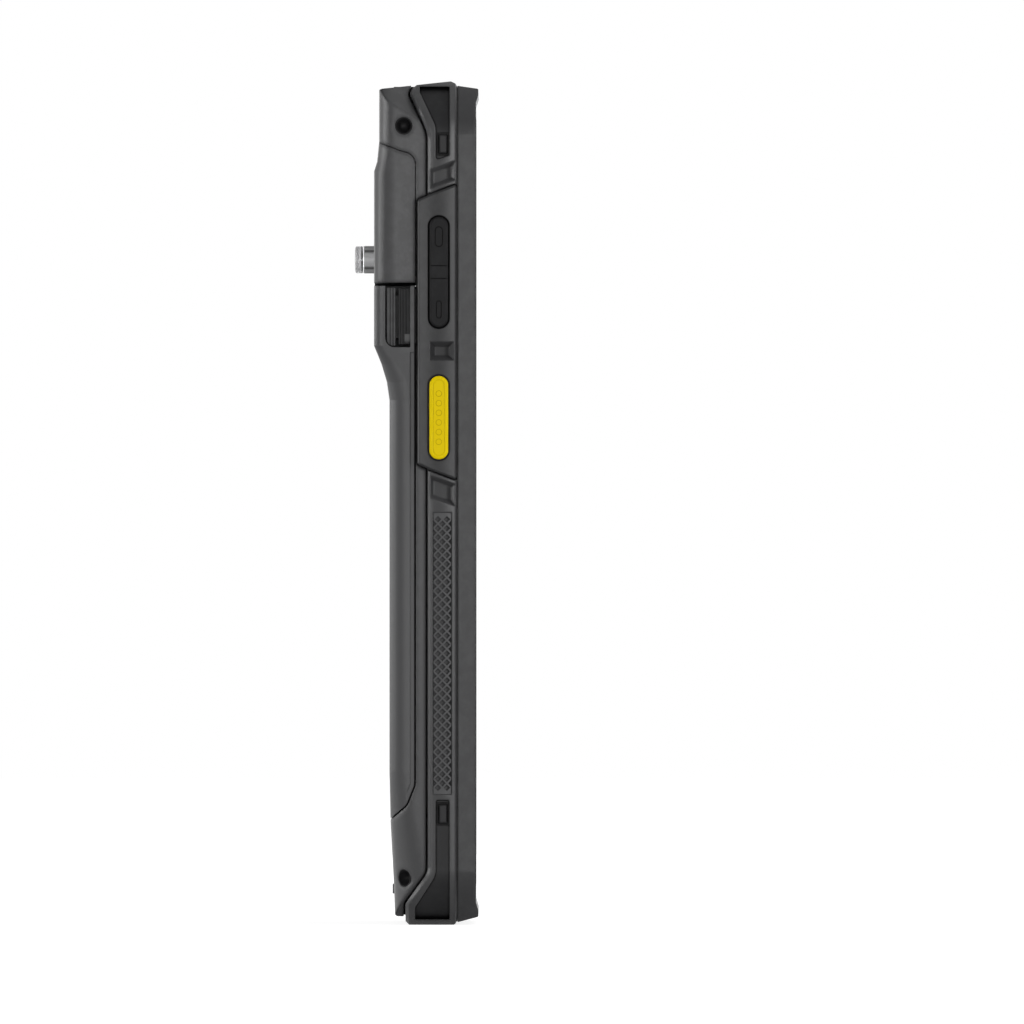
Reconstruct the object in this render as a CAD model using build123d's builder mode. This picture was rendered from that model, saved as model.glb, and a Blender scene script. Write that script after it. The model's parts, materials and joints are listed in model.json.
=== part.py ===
"""Portable barcode data terminal: a slab-shaped handheld computer with a rugged bumper.

Millimetres.  X runs across the device, to the user's right.  The screen faces -Y.  Z runs up the
long axis.  The origin is in the middle of the flat that the device stands on, halfway between its
foremost and rearmost points.  Depths are counted from the front face towards the back, heights
from the rest flat.  What belongs to the lower end is placed up from the rest flat, and what belongs
to the upper end is placed down from the top, so a taller device has longer grips and a longer
battery.
"""

from build123d import *

import os
from math import cos, radians, sin

os.makedirs("parts", exist_ok=True)

# ---------------------------------------------------------------- driving dimensions
# Overall shape
height = 164.8
rear_width = 75.2
bumper_proud = 0.8
panel_proud = 1.1
frame_inset = 0.5
frame_draft = 8.0
lip_proud = 0.45
corner_radius = 10.5
cap_corner_radius = 2.5
top_slope = 0.1115

# Layers from front to back
frame_depth = 3.7
bumper_thick = 6.05
rail_thick = 2.05
battery_thick = 5.1
cap_rise = 2.0
head_rise = 3.0

# Gaps
seam = 0.16
frame_seam = 0.04
groove_width = 0.4
edge_bevel = 0.7
front_bevel = 0.35
fixed_gap = 0.25
moving_gap = 0.3
slip_gap = 0.1
inlay_gap = 0.05

# Lower end, up from the rest flat
rear_low = 1.3
base_front_depth = 4.4
bumper_low_bend = 10.4
foot_high = 19.0
foot_depth = 14.0
tray_low = 21.0
battery_low = 27.4
toe_drop = 5.5
grip_low = 25.6

# Upper end, down from the top
bumper_top_drop = 10.3
head_drop = 14.5
head_length = 24.95
battery_end_gap = 0.35
thick_length = 11.9
ramp_length = 10.6
ramp_rise_low = 0.17
ramp_rise_high = 0.52
cap_hollow_drop = 4.2
cap_hollow_length = 11.0
panel_drop = 23.3
panel_length = 51.5

# Walls
bumper_wall = 3.0
shell_wall = 1.5
rail_width = 4.4
tray_land = 0.5
spigot_thick = 1.1
spigot_reach = 0.9
spigot_root = 0.6
tray_step = 1.25
tray_thick = 1.2
cap_side = 6.6

# Display stack
glass_margin = 3.4
glass_low = 7.6
glass_drop = 7.2
glass_radius = 5.0
glass_sunk = 0.3
glass_thick = 1.1
glass_gap = 0.2
glass_bevel = 0.25
gasket_thick = 0.2
gasket_width = 0.7
gasket_end = 1.9
lcd_margin = 1.0
lcd_low_margin = 7.4
lcd_top_margin = 8.6
lcd_thick = 1.9
chassis_thick = 0.9

# Openings for the ear and the front camera
receiver_drop = 5.0
receiver_half = 6.0
receiver_slot = 1.2
receiver_rim = 0.8
mesh_thick = 0.4
mesh_pitch = 0.8
mesh_hole = 0.2
front_camera_x = -16.0
front_camera_radius = 1.6
front_camera_flange = 0.8

# Boards
board_gap = 0.3
board_thick = 0.8
main_board_width = 55.0
main_board_drop = 4.3
main_board_length = 54.0
sub_board_width = 48.0
sub_board_low = 5.0
sub_board_length = 15.0

# Key boards and their domes
key_room = 2.8
key_board_thick = 0.4
key_board_front = 1.5
key_board_rear = 1.1
key_board_end = 1.0
dome_height = 0.5
dome_radius = 1.1

# Key panel, seen from the side
panel_front_gap = 0.05
panel_depth = 7.65
panel_step_depth = 5.5
panel_slant = 3.1
panel_step = 1.0
panel_thick = 2.0
panel_slit = 0.3
panel_bevel = 0.35
panel_round = 0.5

# Keys: where they lie, and the width and length of each cap
key_set_back = 3.55
scan_key_rise = 9.05
scan_key_width = 3.7
scan_key_length = 16.3
scan_key_proud = 0.6
volume_key_drop = 14.05
volume_key_width = 3.7
volume_key_length = 21.6
volume_key_proud = 0.3
volume_tilt_gap = 0.45
volume_press = 8.0
power_key_drop = 16.6
power_key_width = 2.8
power_key_length = 14.8
power_key_proud = 0.3
program_key_drop = 16.5
program_key_width = 2.96
program_key_length = 12.5
program_key_proud = 0.2
key_side_gap = 0.3
key_travel = 0.45
key_edge = 0.45
flange_gap = 0.2
flange_thick = 0.6
flange_margin = 0.5
plunger_radius = 0.9
rim_width = 0.45
rim_proud = 0.25
rim_seat = 0.5

# Marks in the outer faces of the keys
mark_width = 0.16
mark_sunk = 0.2
mark_margin = 0.65
slim_mark_margin = 0.5
dot_count = 6
dot_pitch = 1.88
dot_radius = 0.58
power_ring = 1.15
volume_mark_top = 3.9
volume_mark_low = 3.5
volume_mark_width = 1.6
volume_mark_length = 4.0
volume_line_pitch = 2.5

# Grip strips
grip_set_back = 1.06
grip_width = 3.57
grip_left_drop = 9.5
grip_right_drop = 8.6
grip_thick = 0.9
grip_sunk = 0.1
grip_round = 0.4

# Wedge notches past the ends of the key panel, and the dimple between its keys
notch_sunk = 1.1
notch_draft = 36.0
notch_set_back = 0.3
notch_width = 5.1
notch_land = 2.05
notch_slant = 1.8
notch_top_length = 3.95
notch_low_length = 4.5
notch_round = 0.2
dimple_set_back = 0.6
dimple_width = 4.7
dimple_rise = 22.05
dimple_length = 3.7
dimple_sunk = 1.1
dimple_draft = 42.0

# Hooks in the bottom end, between rear housing and bumper
hook_x = 20.0
hook_half = 4.0
hook_low = 1.9
hook_high = 5.4
top_hook_high = 3.3
top_hook_length = 2.4
hook_reach = 1.0
hook_root = 0.8

# Corner guards
guard_recess = 0.9
guard_thick = 1.0
guard_margin = 13.6
guard_set_back = 1.45
guard_width = 2.7
guard_top_width = 5.85
guard_low_width = 6.75
guard_edge = 1.1
guard_top_length = 14.6
guard_top_bend = 8.9
guard_top_shoulder = 2.2
guard_low_length = 24.5
guard_low_bend = 9.7
guard_low_shoulder = 3.5
nub_set_back = 1.9
nub_width = 1.7
nub_length = 3.7
nub_top_drop = 14.2
nub_low = 19.9
nub_proud = 0.6
nub_round = 0.35
nub_moat = 0.35
nub_moat_sunk = 0.7

# Strap sockets
strap_radius = 1.72
strap_rim = 1.4
strap_length = 3.0
strap_top_drop = 8.8
strap_top_inset = 4.8
strap_low_z = 9.2
strap_low_lean = 45.0
strap_low_length = 2.6

# Battery pack
battery_floor = 0.8
battery_wall = 1.2
cell_margin = 1.7
cell_rise = 3.6
cell_drop = 24.0
cell_round = 0.8
toe_x = 20.0
toe_width = 9.0
toe_set_back = 0.05
toe_thick = 2.25
toe_slot_front = 0.4
toe_slot_rear = 0.8
tab_half = 9.0
tab_rise = 0.65
rim_band = 0.75
rim_band_sunk = 0.25
battery_board_half = 24.0
battery_board_length = 7.5
contact_row_pitch = 2.5
contact_row_count = 6

# Latches in the battery's upper corners, and the catches that they hook behind
pocket_set_back = 1.0
pocket_rear_wall = 2.2
pocket_length = 12.2
pocket_deep = 8.0
pocket_round = 1.8
latch_travel = 1.8
spring_room = 0.8
latch_slider_thick = 1.8
latch_pad_sunk = 0.7
latch_pad_thick = 1.6
latch_pad_depth = 1.65
latch_length = 11.3
latch_rib = 0.2
latch_rib_pitch = 0.55
catch_gap = 0.4
catch_thick = 2.2
catch_root = 0.5
catch_rise = 3.3
catch_length = 10.6
catch_end = 0.8
nose_set_back = 0.1
nose_thick = 1.1
nose_reach = 0.7
nose_inset = 2.5
catch_notch = 1.1
spring_radius = 1.0
spring_wire = 0.2
spring_pitch = 0.85

# Parts on the boards
shield_half = 20.0
shield_drop = 6.0
shield_length = 28.0
shield_thick = 1.9
shield_sheet = 0.2
processor_half = 7.0
processor_thick = 1.2
card_inset = 4.5
card_half = 7.0
card_rise = 1.5
card_length = 15.0
card_thick = 1.4
card_sheet = 0.3
connector_half = 8.0
connector_drop = 21.0
connector_tall = 4.0
speaker_x = 16.0
speaker_half = 7.0
speaker_low = 5.5
speaker_tall = 12.0
speaker_thick = 2.6
motor_radius = 4.0
motor_thick = 2.4

# Rear head
head_wall = 1.6
post_rise = 4.85
post_radius = 2.68
post_proud = 3.9
post_flange = 0.8
post_flange_rim = 0.5
lamp_half = 1.6
lamp_tall = 1.0
camera_x = 17.0
camera_drop = 10.3
camera_radius = 4.6
camera_sunk = 0.9
camera_barrel = 2.4
camera_body_half = 4.2
camera_body = 3.6
flash_x = 7.5
flash_radius = 2.0

# Scan window in the top end, and the engine behind it
window_half = 16.8
window_set_back = 3.1
window_rear_wall = 2.7
window_rim = 2.0
window_rebate = 0.8
window_drop = 0.9
window_thick = 1.0
window_sunk = 0.6
engine_half = 10.5
engine_step = 1.75
engine_depth = 7.0
engine_tall = 8.4
engine_barrel = 1.4
lens_x = -4.5
lens_radius = 2.5
lens_bore = 1.7
aimer_x = 5.5
aimer_radius = 1.7
bracket_thick = 0.9
bracket_margin = 1.5

# Port in the bottom end
port_set_back = 3.9
port_width = 9.0
port_thick = 3.2
port_shell = 0.3
port_length = 7.3
port_gap = 0.2
port_low = 1.0
tongue_thick = 0.7
tongue_margin = 1.3

# Charging contacts in the back of the bottom cap
contact_z = 6.7
contact_radius = 0.9
contact_pitch = 3.2
contact_count = 5
contact_proud = 0.4
contact_length = 1.9

# Screws that hold the tray to the chassis
screw_inset = 3.0
screw_end = 8.6
screw_radius = 0.9
screw_head_radius = 1.6
screw_head = 0.6
screw_length = 3.6
screw_socket = 0.6
screw_socket_depth = 0.4
pillar_radius = 2.2

# ---------------------------------------------------------------- worked-out places
# Across
sides = (("left", -1), ("right", 1))
rear_half = rear_width / 2
bumper_half = rear_half + bumper_proud
panel_half = rear_half + panel_proud
frame_half = bumper_half - frame_inset
inner_half = bumper_half - bumper_wall
panel_inner = panel_half - panel_thick
well_half = rear_half - rail_width
tray_half = well_half + tray_land
cap_half = rear_half - cap_side
glass_half = rear_half - glass_margin
clear_x = panel_half + 2.0
flange_outer = inner_half - flange_gap
key_board_x = inner_half - key_room
key_board_outer = key_board_x + key_board_thick
plunger_x = key_board_outer + dome_height + key_travel + slip_gap
screw_x = well_half - screw_inset
card_x = card_half + card_inset - main_board_width / 2
battery_half = well_half - moving_gap
cell_half = battery_half - cell_margin
pocket_floor_x = rear_half - pocket_deep
latch_inner = pocket_floor_x + latch_travel + spring_room
latch_outer = latch_inner + latch_slider_thick
latch_pad_x = rear_half - latch_pad_sunk
catch_inner = latch_outer + catch_gap
catch_outer = catch_inner + catch_thick

# Front to back
rear_rail_depth = frame_depth + bumper_thick
seam_depth = rear_rail_depth + rail_thick
body_depth = seam_depth + battery_thick
cap_depth = body_depth + cap_rise
head_depth = body_depth + head_rise
front_y = -(head_depth + post_proud - lip_proud) / 2
beyond = head_depth + 10.0
frame_rear = frame_depth - frame_seam / 2
bumper_front = frame_depth + (seam + frame_seam) / 2 - groove_width
lcd_depth = glass_sunk + glass_thick
chassis_front = frame_depth + seam / 2
board_front = chassis_front + chassis_thick + board_gap
board_rear = board_front + board_thick
tray_front = rear_rail_depth - tray_step
tray_rear = tray_front + tray_thick
battery_front = tray_rear + fixed_gap
battery_split = seam_depth + moving_gap - seam / 2
board_seat = battery_front + battery_floor + 0.4
cell_rear = body_depth - battery_wall - moving_gap
key_depth = frame_depth + key_set_back
grip_front = frame_depth + grip_set_back
pocket_front = seam_depth + pocket_set_back
pocket_rear = head_depth - pocket_rear_wall
latch_pad_rear = pocket_rear - moving_gap
latch_pad_front = latch_pad_rear - latch_pad_depth
nose_front = pocket_front + nose_set_back
nose_rear = nose_front + nose_thick
catch_rear = seam_depth + catch_rise
toe_depth = seam_depth + toe_set_back
spring_depth = (nose_front + latch_pad_front) / 2
strap_top_depth = cap_depth - strap_top_inset
window_front = frame_depth + window_set_back
window_rear = cap_depth - window_rear_wall
engine_front = rear_rail_depth - engine_step
engine_rear = engine_front + engine_depth
port_depth = frame_depth + port_set_back
camera_seat = head_depth - camera_sunk
head_inside = head_depth - head_wall
lamp_depth = head_inside - post_flange - lamp_tall - fixed_gap

# Bottom to top
bumper_top_bend = height - bumper_top_drop
head_top = height - head_drop
head_low = head_top - head_length
battery_top = head_low - battery_end_gap
thick_high = battery_top - thick_length
thick_low = thick_high - ramp_length
cap_high = height - cap_hollow_drop
cap_low = cap_high - cap_hollow_length
panel_high = height - panel_drop
panel_low = panel_high - panel_length
scan_key_z = panel_low + scan_key_rise
volume_key_z = panel_high - volume_key_drop
power_key_z = panel_high - power_key_drop
program_key_z = panel_low - program_key_drop
dimple_z = panel_low + dimple_rise
glass_high = height - glass_drop
lcd_low = glass_low + lcd_low_margin
lcd_high = glass_high - lcd_top_margin
receiver_z = glass_high - receiver_drop
main_board_high = head_top - main_board_drop
main_board_low = main_board_high - main_board_length
sub_board_high = sub_board_low + sub_board_length
shield_high = main_board_high - shield_drop
shield_low = shield_high - shield_length
card_low = main_board_low + card_rise
connector_low = battery_top - connector_drop
connector_z = connector_low + connector_tall / 2
well_low = battery_low + moving_gap + inlay_gap
tray_high = battery_top + 2.4
head_wall_high = tray_high + shield_sheet + 0.6
head_inner_top = cap_low - board_thick + slip_gap
toe_low = battery_low - toe_drop
cell_low = battery_low + cell_rise
cell_high = battery_top - cell_drop
battery_tray_low = well_low + moving_gap
battery_tray_high = battery_top - moving_gap
pocket_low = battery_top - pocket_length
latch_low = pocket_low + moving_gap
latch_high = latch_low + latch_length
catch_high = battery_top - catch_end
catch_low = catch_high - catch_length
spring_z = (latch_low + latch_high) / 2
nub_top_low = height - nub_top_drop
strap_top_z = height - strap_top_drop
post_z = head_low + post_rise
camera_z = head_top - camera_drop
window_top = height - window_drop
window_foot = height - bumper_wall - window_drop
bracket_low = head_inner_top
engine_low = bracket_low + bracket_thick
engine_high = engine_low + engine_tall
screw_levels = (
    battery_low + screw_end,
    (battery_low + battery_top) / 2,
    battery_top - screw_end,
)

foot_seam_depth = rear_rail_depth + 4.35
top_seam_depth = rear_rail_depth + 2.65

# Ribs that reach behind the bumper's rear edge: inner X, lower end, upper end
spigot_ribs = (
    (cap_half + 0.3, hook_high - 0.4, tray_low + 0.5),
    (inner_half - 1.6, panel_high - 1.0, bumper_top_bend + 1.0),
    (cap_half + 0.3, cap_low + 1.5, height - 5.1),
)

# Seam between bumper and rear housing, bottom to top: depth, height, corner radius
bumper_edge = [
    (foot_seam_depth, -beyond, 0),
    (foot_seam_depth, bumper_low_bend - 6.1, 1.5),
    (rear_rail_depth, bumper_low_bend, 3.0),
    (rear_rail_depth, bumper_top_bend, 6.0),
    (rear_rail_depth + 3.55, bumper_top_bend + 7.7, 1.0),
    (rear_rail_depth + 2.15, height + 1.0, 0),
]

behind_bumper = [(depth, z, 0) for depth, z, _ in bumper_edge]
behind_bumper += [(beyond, height + 1.0, 0), (beyond, -beyond, 0)]

# Seam round the battery and the rear head, bottom to top
rear_seam_low = [
    (head_depth + 1.0, battery_low - 10.5, 0),
    (seam_depth + 1.6, battery_low - 4.0, 3.0),
    (seam_depth, battery_low, 3.0),
]
rear_seam_top = [
    (seam_depth, head_top, 2.4),
    (seam_depth + 3.2, head_top + 0.9, 3.0),
    (head_depth + 3.0, head_top + 4.0, 0),
]

# Back of the device, bottom to top: height, depth, radius of the rear side edges
foot_section = (9.0, body_depth - 0.8, 7.0)
back_sections = [
    (-1.0, body_depth - 1.2, 7.2),
    foot_section,
    (battery_low - 7.0, body_depth - 0.2, 5.2),
    (battery_low + 2.6, body_depth, 4.2),
    (thick_low, body_depth, 4.2),
    (thick_low + ramp_length / 3, body_depth + head_rise * ramp_rise_low, 4.0),
    (thick_low + 2 * ramp_length / 3, body_depth + head_rise * ramp_rise_high, 3.2),
    (thick_high, head_depth, 1.9),
    (head_top - 3.2, head_depth, 2.2),
    (head_top - 1.3, head_depth - 0.6, 2.2),
    (head_top + 2.7, cap_depth, 2.4),
    (height + 1.0, cap_depth, 2.4),
]
contact_depth = foot_section[1] - 0.1

# Each key: side, centre height, width, length, outer face, flange face, heights of its plungers
volume_presses = [volume_key_z - volume_press, volume_key_z + volume_press]
volume_size = (volume_key_z, volume_key_width, volume_key_length)
scan_size = (scan_key_z, scan_key_width, scan_key_length)
power_size = (power_key_z, power_key_width, power_key_length)
program_size = (program_key_z, program_key_width, program_key_length)
volume_top = panel_half + volume_key_proud
scan_top = panel_half + scan_key_proud
power_top = panel_half + power_key_proud
program_top = bumper_half + program_key_proud
keys = [
    ("volume_key", -1, *volume_size, volume_top, flange_outer - volume_tilt_gap, volume_presses),
    ("scan_key_left", -1, *scan_size, scan_top, flange_outer, [scan_key_z]),
    ("scan_key_right", 1, *scan_size, scan_top, flange_outer, [scan_key_z]),
    ("power_key", 1, *power_size, power_top, flange_outer, [power_key_z]),
    ("program_key", 1, *program_size, program_top, flange_outer, [program_key_z]),
]
panel_keys = {-1: [volume_size, scan_size], 1: [power_size, scan_size]}
dome_levels = {-1: [*volume_presses, scan_key_z], 1: [power_key_z, scan_key_z, program_key_z]}
key_board_low = {-1: panel_low - 2.0, 1: program_key_z - volume_press}
grip_high = {-1: panel_low - grip_left_drop, 1: program_key_z - grip_right_drop}


# ---------------------------------------------------------------- planes and shared shapes
def front_plane(depth):
    """Plane seen from the front, at a depth behind the front face: x right, y up."""
    return Plane(origin=(0, front_y + depth, 0), x_dir=(1, 0, 0), z_dir=(0, -1, 0))


def side_plane(x=0.0):
    """Plane seen from the right side: x is the depth, y the height."""
    return Plane(origin=(x, front_y, 0), x_dir=(0, 1, 0), z_dir=(1, 0, 0))


def level_plane(z):
    """Level plane: x right, y is the depth."""
    return Plane(origin=(0, front_y, z), x_dir=(1, 0, 0), z_dir=(0, 0, 1))


def front_slab(half, low, high, radius, near, far, x=0.0, mode=Mode.ADD):
    """Rounded rectangle seen from the front, between two depths."""
    with BuildSketch(front_plane(near), mode=Mode.PRIVATE) as face:
        with Locations((x, (low + high) / 2)):
            RectangleRounded(2 * half, high - low, radius)
    extrude(face.sketch, amount=near - far, mode=mode)


def side_slab(corners, near_x, far_x, shrink=0.0, taper=0.0, mode=Mode.ADD):
    """Region seen from the side, from (depth, height, radius) corners, between two X."""
    with BuildSketch(side_plane(near_x), mode=Mode.PRIVATE) as face:
        with BuildLine():
            FilletPolyline(
                *[(depth, z) for depth, z, _ in corners],
                radius=[radius for _, _, radius in corners],
                close=True,
            )
        make_face()
        if shrink:
            offset(amount=-shrink, kind=Kind.INTERSECTION)
    extrude(face.sketch, amount=far_x - near_x, taper=taper, mode=mode)


def side_slot(depth, size, margin, near_x, far_x, mode=Mode.ADD):
    """Upright obround seen from the side, between two X: (height, width, length) and a margin."""
    z, width, length = size
    with BuildSketch(side_plane(near_x), mode=Mode.PRIVATE) as face:
        with Locations((depth, z)):
            SlotOverall(length + 2 * margin, width + 2 * margin, rotation=90)
    extrude(face.sketch, amount=far_x - near_x, mode=mode)


def side_disc(depth, z, radius, near_x, far_x, mode=Mode.ADD):
    """Disc seen from the side, between two X."""
    with BuildSketch(side_plane(near_x), mode=Mode.PRIVATE) as face:
        with Locations((depth, z)):
            Circle(radius)
    extrude(face.sketch, amount=far_x - near_x, mode=mode)


def front_disc(x, z, radius, near, far, mode=Mode.ADD):
    """Disc seen from the front, between two depths."""
    with BuildSketch(front_plane(near), mode=Mode.PRIVATE) as face:
        with Locations((x, z)):
            Circle(radius)
    extrude(face.sketch, amount=near - far, mode=mode)


def block(x_span, depth_span, z_span, mode=Mode.ADD):
    """Plain block between two X, two depths and two heights."""
    spans = (x_span, depth_span, z_span)
    middle = [sum(span) / 2 for span in spans]
    size = [abs(span[1] - span[0]) for span in spans]
    with Locations((middle[0], front_y + middle[1], middle[2])):
        Box(*size, mode=mode)


def hook(sign, margin, mode=Mode.ADD):
    """Hook of the rear housing that reaches into the bumper's bottom wall, and a margin round it."""
    block(
        (sign * (hook_x - hook_half - margin), sign * (hook_x + hook_half + margin)),
        (foot_seam_depth - hook_reach - margin, foot_seam_depth + hook_root),
        (hook_low - margin, hook_high + margin),
        mode=mode,
    )


def save(part, name):
    """Label a finished piece and write it to its own STEP file."""
    part.label = name
    export_step(part, f"parts/{name}.step")


# ---------------------------------------------------------------- regions seen from the side
housing_region = [
    *bumper_edge,
    (beyond, height + 1.0, 0),
    *rear_seam_top[::-1],
    *rear_seam_low[::-1],
    (beyond, -beyond, 0),
]
bumper_region = [(bumper_front, -beyond, 0), *bumper_edge, (bumper_front, height + 1.0, 0)]
head_region = [(seam_depth, head_low, 0), *rear_seam_top, (beyond, head_low, 0)]
battery_region = [
    (beyond, battery_top, 0),
    (beyond, battery_low - 11.4, 0),
    *rear_seam_low,
    (seam_depth, battery_top, 0),
]
frame_region = [
    (frame_rear, 0.5, 0.2),
    (-lip_proud, 1.6, 0.3),
    (-lip_proud, 2.9, 0.6),
    (0.0, 4.4, 1.5),
    (0.0, height - 4.2, 1.5),
    (-lip_proud, height - 2.7, 0.6),
    (-lip_proud, height - 1.5, 0.3),
    (frame_rear, height - 0.9, 0.2),
]
bumper_ends_region = [
    (bumper_front, 0.6, 0),
    (base_front_depth, 0, 0),
    (beyond, 0, 0),
    (beyond, height - top_slope * (beyond - base_front_depth), 0),
    (base_front_depth + 0.5, height, 0.3),
    (bumper_front, height - 0.8, 0),
]
rear_ends_region = [
    (0, rear_low, 0),
    (body_depth - 1.2, rear_low + 0.4, 0.8),
    (beyond, battery_low + 12.6, 0),
    (beyond, height - 20.0, 0),
    (cap_depth, height - 1.6, 1.6),
    (rear_rail_depth + 2.15, height - 0.8, 0),
    (0, height - 0.8, 0),
]
panel_front = frame_depth + panel_front_gap
panel_middle = frame_depth + panel_step_depth
panel_rear = panel_front + panel_depth
panel_region = [
    (panel_front, panel_low - panel_slant, panel_round),
    (panel_middle, panel_low - panel_step, panel_round),
    (panel_rear, panel_low, panel_round),
    (panel_rear, panel_high, panel_round),
    (panel_middle, panel_high + panel_step, panel_round),
    (panel_front, panel_high + panel_slant, panel_round),
]
dimple_front = frame_depth + dimple_set_back
dimple_region = [
    (dimple_front, dimple_z - dimple_length / 2, 0),
    (dimple_front + dimple_width, dimple_z - dimple_length / 2, 0),
    (dimple_front + dimple_width, dimple_z + dimple_length / 2, 0),
    (dimple_front, dimple_z + dimple_length / 2, 0),
]
guard_front = frame_depth + guard_set_back
guard_top_region = [
    (guard_front, height - guard_top_length, 0.5),
    (guard_front + guard_width, height - guard_top_length - 1.0, 0.5),
    (guard_front + guard_width, height - guard_top_bend, 4.0),
    (guard_front + guard_top_width, height - guard_top_shoulder, 1.0),
    (guard_front + guard_top_width, height - guard_edge, 0),
    (guard_front, height - guard_edge, 0),
]
guard_low_region = [
    (guard_front, guard_low_length, 0.5),
    (guard_front, guard_edge, 0),
    (guard_front + guard_low_width, guard_edge, 0),
    (guard_front + guard_low_width, guard_low_shoulder, 1.0),
    (guard_front + guard_width, guard_low_bend, 4.0),
    (guard_front + guard_width, guard_low_length, 0.5),
]
pocket_region = [
    (pocket_front, pocket_low, 0.2),
    (pocket_rear, pocket_low, pocket_round),
    (pocket_rear, battery_top + 2.0, 0),
    (pocket_front, battery_top + 2.0, 0),
]
latch_pad_region = [
    (latch_pad_front, latch_low, 0.2),
    (latch_pad_rear, latch_low, 1.2),
    (latch_pad_rear, latch_high, 0.2),
    (latch_pad_front, latch_high, 0.2),
]
latch_stem_region = [
    (latch_pad_front, latch_low + 1.5, 0.2),
    (latch_pad_rear - 0.2, latch_low + 1.5, 0.2),
    (latch_pad_rear - 0.2, latch_high - 0.6, 0.2),
    (latch_pad_front, latch_high - 0.6, 0.2),
]
ends = (("top", guard_top_region, nub_top_low), ("bottom", guard_low_region, nub_low))


def notch_region(edge_z, direction, length):
    """Wedge notch that runs beside the slanted end of the key panel."""
    near_z = edge_z + direction * notch_land
    far_z = near_z + direction * length
    front = frame_depth + notch_set_back
    return [
        (front + notch_width, near_z, notch_round),
        (front + notch_width, far_z, notch_round),
        (front, far_z + direction * notch_slant, notch_round),
        (front, near_z + direction * notch_slant, notch_round),
    ]


top_notch_region = notch_region(panel_high, 1, notch_top_length)
low_notch_region = notch_region(panel_low, -1, notch_low_length)


def corner_layer(region, sign, shrink, outer, inner):
    """Layer of a shell's corner between two insets of the bumper's outline, in a side region."""
    with BuildPart(mode=Mode.PRIVATE) as layer:
        side_slab(region, sign * (rear_half - guard_margin), sign * clear_x, shrink=shrink)
        for inset, mode in ((outer, Mode.INTERSECT), (inner, Mode.SUBTRACT)):
            if inset:
                outline = (bumper_half - inset, inset, height - inset, corner_radius - inset)
                front_slab(*outline, 0, beyond, mode=mode)
    return layer.part


def contact_row(radius):
    """Row of round contacts in the back of the bottom cap."""
    with BuildPart(mode=Mode.PRIVATE) as row:
        with BuildSketch(front_plane(contact_depth + contact_proud)):
            with Locations((0, contact_z)):
                with GridLocations(contact_pitch, 1, contact_count, 1):
                    Circle(radius)
        extrude(amount=contact_length)
    return row.part


def strap_low_plane(sign):
    """Plane square to a lower strap socket, through the middle of its mouth."""
    lean = radians(strap_low_lean)
    _, cap_rear, arc_radius = foot_section
    mouth_x = rear_half - arc_radius + arc_radius * cos(lean)
    mouth_y = front_y + cap_rear - arc_radius + arc_radius * sin(lean)
    return Plane(origin=(sign * mouth_x, mouth_y, strap_low_z), z_dir=(sign * cos(lean), sin(lean), 0))


def groove(depth, size, margin, outer_x, inner_x):
    """Ring-shaped groove in an upright obround, seen from the side."""
    side_slot(depth, size, margin, outer_x, inner_x)
    side_slot(depth, size, margin - mark_width, outer_x, inner_x, mode=Mode.SUBTRACT)


def ring(depth, z, radius, width, outer_x, inner_x):
    """Round groove, seen from the side."""
    side_disc(depth, z, radius, outer_x, inner_x)
    side_disc(depth, z, radius - width, outer_x, inner_x, mode=Mode.SUBTRACT)


def key_marks(name, sign, size, top_x):
    """The shallow marks that are cut into a key's outer face."""
    key_z, width, length = size
    cut = (sign * (top_x + slip_gap), sign * (top_x - mark_sunk))
    with BuildPart(mode=Mode.PRIVATE) as marks:
        if name.startswith("scan_key"):
            groove(key_depth, size, -mark_margin, *cut)
            for step in range(dot_count):
                dot_z = key_z + (step - (dot_count - 1) / 2) * dot_pitch
                ring(key_depth, dot_z, dot_radius, mark_width, *cut)
        if name == "volume_key":
            top_z = key_z + length / 2 - volume_mark_top
            low_z = key_z - length / 2 + volume_mark_low
            groove(key_depth, (top_z, volume_mark_width, volume_mark_length), 0, *cut)
            groove(key_depth, (low_z, volume_mark_width, volume_mark_length), -0.25, *cut)
            for line_z in (key_z - volume_line_pitch / 2, key_z + volume_line_pitch / 2):
                block(
                    cut,
                    (key_depth - width / 2, key_depth + width / 2),
                    (line_z - mark_width / 2, line_z + mark_width / 2),
                )
        if name == "power_key":
            ring(key_depth, key_z, power_ring, 1.4 * mark_width, *cut)
            block(
                cut,
                (key_depth - mark_width / 2, key_depth + mark_width / 2),
                (key_z - power_ring / 2, key_z + power_ring / 2),
            )
        if name == "program_key":
            groove(key_depth, size, -slim_mark_margin, *cut)
    return marks.part


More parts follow.
